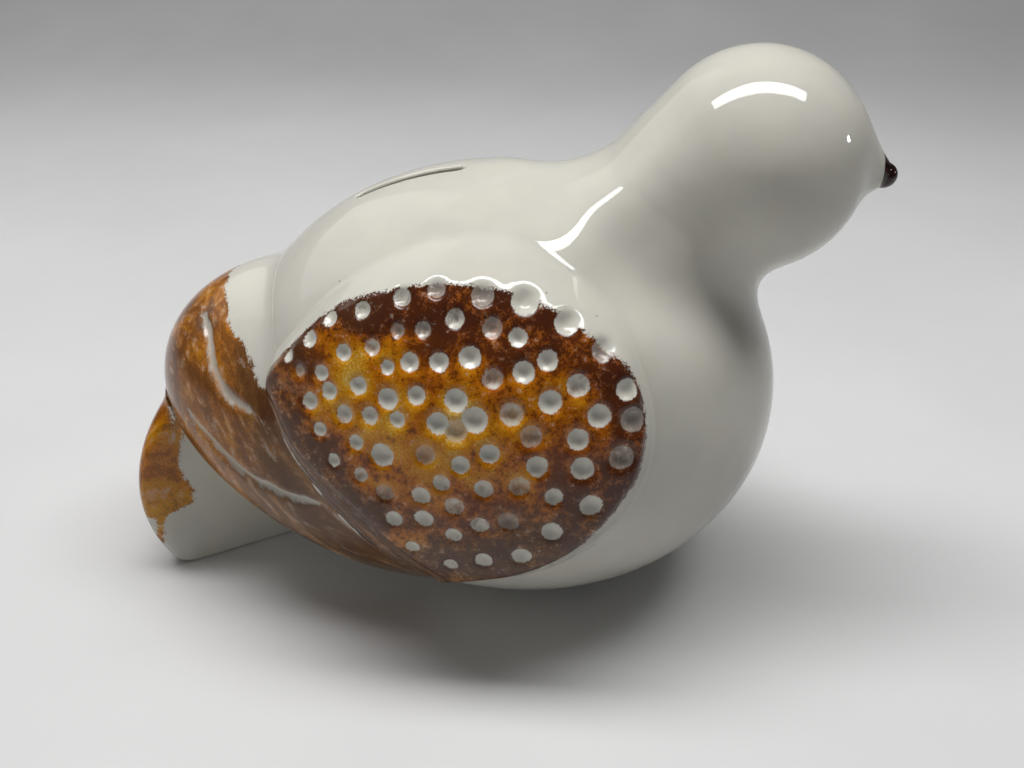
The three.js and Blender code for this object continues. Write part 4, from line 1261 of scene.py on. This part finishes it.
def painted_material():
    """Sponged and streaked colour under the glaze."""
    n = Nodes("mottled_glaze")
    flow = n.new("CombineXYZ", {0: n.value("across"),
                                1: n.times(n.value("along"), STREAK_STRETCH)})
    streak, tone, grey = n.value("streak"), n.value("tone"), n.value("grey")
    grain = n.blend(n.times(streak, 0.35), n.noise(0.8, 4, 0.72),
                    n.noise(0.8, 4, 0.7, flow, warp=0.3))
    blotch = n.blend(streak, n.noise(2.7, 5, 0.7, shift=(4, 1, 8), warp=0.2),
                     n.noise(2.1, 5, 0.68, flow, (5, 2, 0), 0.4))
    broad = n.blend(streak, n.noise(13, 3, 0.55, shift=(9, 2, 6)),
                    n.noise(7, 3, 0.55, flow, (1, 4, 0), 0.3))
    halo = n.times(n.step(n.value("pit"), -2.4, -0.3), n.times(n.step(tone, 0.2, 0.5), 0.07))
    shade = n.add(tone, n.swing(broad, 1.4), n.swing(grain, 1.4), halo)
    greyness = n.step(n.add(grey, n.swing(broad, -1.2)), 0.2, 0.8)
    colour = n.mix(greyness, n.ramp(shade, PAINT_TONES), n.ramp(shade, BROWN_TONES))
    # the sponge's dark specks lie closer where the tone is dark
    speck = n.add(blotch, n.swing(grain, 1.6), 0.055, n.times(streak, -0.045),
                  n.times(shade, n.blend(streak, -0.44, -0.20)))
    speck = n.times(n.step(speck, 0.375, 0.44), n.blend(streak, 0.88, 0.62))
    dark = n.mix(greyness, n.mix(n.step(tone, 0.12, 0.5), *DARK_SPECKS), BROWN_SPECKS)
    colour = n.mix(speck, colour, dark)
    # thin places, where the pale glaze shows through
    thin = n.step(n.add(blotch, n.times(grain, -0.35), n.times(streak, -0.04)), 0.24, 0.12)
    edge = n.add(n.value("paint"), n.swing(grain, 5.0), n.swing(blotch, 5.0))
    cover = n.times(n.add(1.0, n.times(thin, -0.3)), n.step(edge, -0.2, 0.5))
    # the glaze is pale in the pits, fully in some and partly in others, and in the grooves
    pit = n.step(n.add(n.value("pit"), n.swing(grain, 1.5), n.swing(blotch, 1.2)), 0.15, 0.5)
    tinted = n.step(n.add(n.value("tint"), n.times(blotch, 1.2), n.times(tone, -0.35)), 1.05, 1.35)
    pit = n.times(pit, n.add(1.0, n.times(tinted, -0.6)))
    groove = n.step(n.add(n.value("groove"), n.swing(blotch, 7.0)), -0.3, 1.3)
    bare = n.math("MAXIMUM", pit, n.times(groove, 0.7))
    cover = n.times(cover, n.add(1.0, n.times(bare, -1.0)))
    n.put(n.shader["Base Color"], n.mix(cover, white_colour(n), colour))
    glaze_surface(n, n.times(grain, cover), 0.06)
    return n.material


def rubber_material():
    n = Nodes("bung_rubber")
    n.put(n.shader["Base Color"], n.ramp(n.noise(4, 4, 0.6), RUBBER))
    n.put(n.shader["Roughness"], n.step(n.noise(1.5, 3, 0.6), 0.3, 0.7, 0.55, 0.8))
    n.put(n.shader["Normal"], n.bump(n.noise(0.35, 2, 0.5), 0.02))
    return n.material


# The backdrop's greys are painted shade: darker than the table for a backdrop out of the lamps'
# light
TABLE_GREYS, BACKDROP_SHADE_GREYS, BOUNCE_GREY = (0.71, 0.75), (0.51, 0.55), 0.50
BACKDROP_SHADE_FROM, BACKDROP_SHADE_WHOLE = 0.52, 0.86
FLOOR_ROUGHNESS = 0.55


def floor_material():
    """A pale table top; beyond it the backdrop is painted greyer, as painted shade where the
    backdrop lies out of the light.
    """
    n = Nodes("floor")
    cloud = n.noise(160, 3, 0.55)
    table, backdrop_shade = (n.ramp(cloud, [(0.35, (low,) * 3), (0.7, (high,) * 3)])
                    for low, high in (TABLE_GREYS, BACKDROP_SHADE_GREYS))
    away = n.add(n.new("SeparateXYZ", {0: n.place}, 1), n.times(n.noise(300, 2, 0.5), 0.06))
    seen = n.new("LightPath", {}, "Is Camera Ray")
    for kind in ("Is Glossy Ray", "Is Transmission Ray"):
        seen = n.math("MAXIMUM", seen, n.new("LightPath", {}, kind))
    # painted shade: the colour turns to the darker backdrop greys away from the table
    seen_colour = n.mix(n.step(away, BACKDROP_SHADE_FROM, BACKDROP_SHADE_WHOLE), table, backdrop_shade)
    n.put(n.shader["Base Color"], n.mix(seen, (BOUNCE_GREY,) * 3, seen_colour))
    n.put(n.shader["Roughness"], FLOOR_ROUGHNESS)
    return n.material


white = white_material()
mottled = painted_material()

make_back(white)
make_belly(white)
make_head(white)
make_beak(beak_material())
make_pad("wing_pad_right_glazed", "wing_pad_right", mottled, False)
make_pad("wing_pad_left_glazed", "wing_pad_left", mottled, True)
make_band("wing_feathers_right_glazed", "wing_feathers_right", mottled, False)
make_band("wing_feathers_left_glazed", "wing_feathers_left", mottled, True)
make_tail(mottled)
make_bung(rubber_material())

# Floor and light, in metres

FLOOR_REACH = 4.0
BACKDROP_START, BACKDROP_CURVE, BACKDROP_TOP = 0.50, 1.2, 2.4
# Name, place, aim, size, watts, and the kind of light that each lamp leaves out
LAMPS = [
    ("strip", (0.0, 0.045, 1.15), (0.0, 0.0, 0.0), (1.5, 0.28), 14.5, "glossy"),
    ("gleam", (0.0, -0.02, 1.15), (0.0, 0.0, 0.0), (1.5, 0.22), 16.0, "diffuse"),
    ("sky", (-0.95, 0.6, 0.95), (0.0, 0.0, 0.08), (1.2, 1.0), 2.2, None),
    ("glint", (1.0, 0.15, 0.35), (0.0, 0.0, 0.1), (0.06, 0.06), 0.4, "diffuse"),
    ("fill", (-0.45, -1.0, 0.22), (0.0, 0.0, 0.03), (0.8, 0.4), 1.3, "glossy"),
]
WORLD_GREY, WORLD_STRENGTH = 0.5, 0.1


def make_floor():
    mesh = bpy.data.meshes.new("floor")
    rows = [(-FLOOR_REACH, 0.0), (BACKDROP_START, 0.0)]
    for a in np.radians(np.linspace(6, 90, 15)):
        rows.append((BACKDROP_START + BACKDROP_CURVE * np.sin(a), BACKDROP_CURVE * (1 - np.cos(a))))
    rows.append((BACKDROP_START + BACKDROP_CURVE, BACKDROP_TOP))
    points = [(x, y, z) for y, z in rows for x in (-FLOOR_REACH, FLOOR_REACH)]
    faces = [(2 * i, 2 * i + 1, 2 * i + 3, 2 * i + 2) for i in range(len(rows) - 1)]
    mesh.from_pydata(points, [], faces)
    mesh.polygons.foreach_set("use_smooth", np.ones(len(faces), bool))
    mesh.materials.append(floor_material())
    floor = bpy.data.objects.new("floor", mesh)
    bpy.context.scene.collection.objects.link(floor)


def make_lamp(name, at, aim, size, power, left_out):
    data = bpy.data.lights.new(name, "AREA")
    data.shape = "RECTANGLE"
    data.size, data.size_y = size
    data.energy = power
    light = bpy.data.objects.new(name, data)
    light.location = at
    light.rotation_euler = (Vector(aim) - Vector(at)).to_track_quat("-Z", "Y").to_euler()
    if left_out:
        setattr(light, "visible_" + left_out, False)
    bpy.context.scene.collection.objects.link(light)


def make_world():
    world = bpy.data.worlds.new("world")
    bpy.context.scene.world = world
    world.use_nodes = True
    background = world.node_tree.nodes["Background"].inputs
    background["Color"].default_value = (WORLD_GREY, WORLD_GREY, WORLD_GREY, 1)
    background["Strength"].default_value = WORLD_STRENGTH


make_floor()
for lamp in LAMPS:
    make_lamp(*lamp)
make_world()
bpy.context.scene.view_settings.view_transform = "Standard"
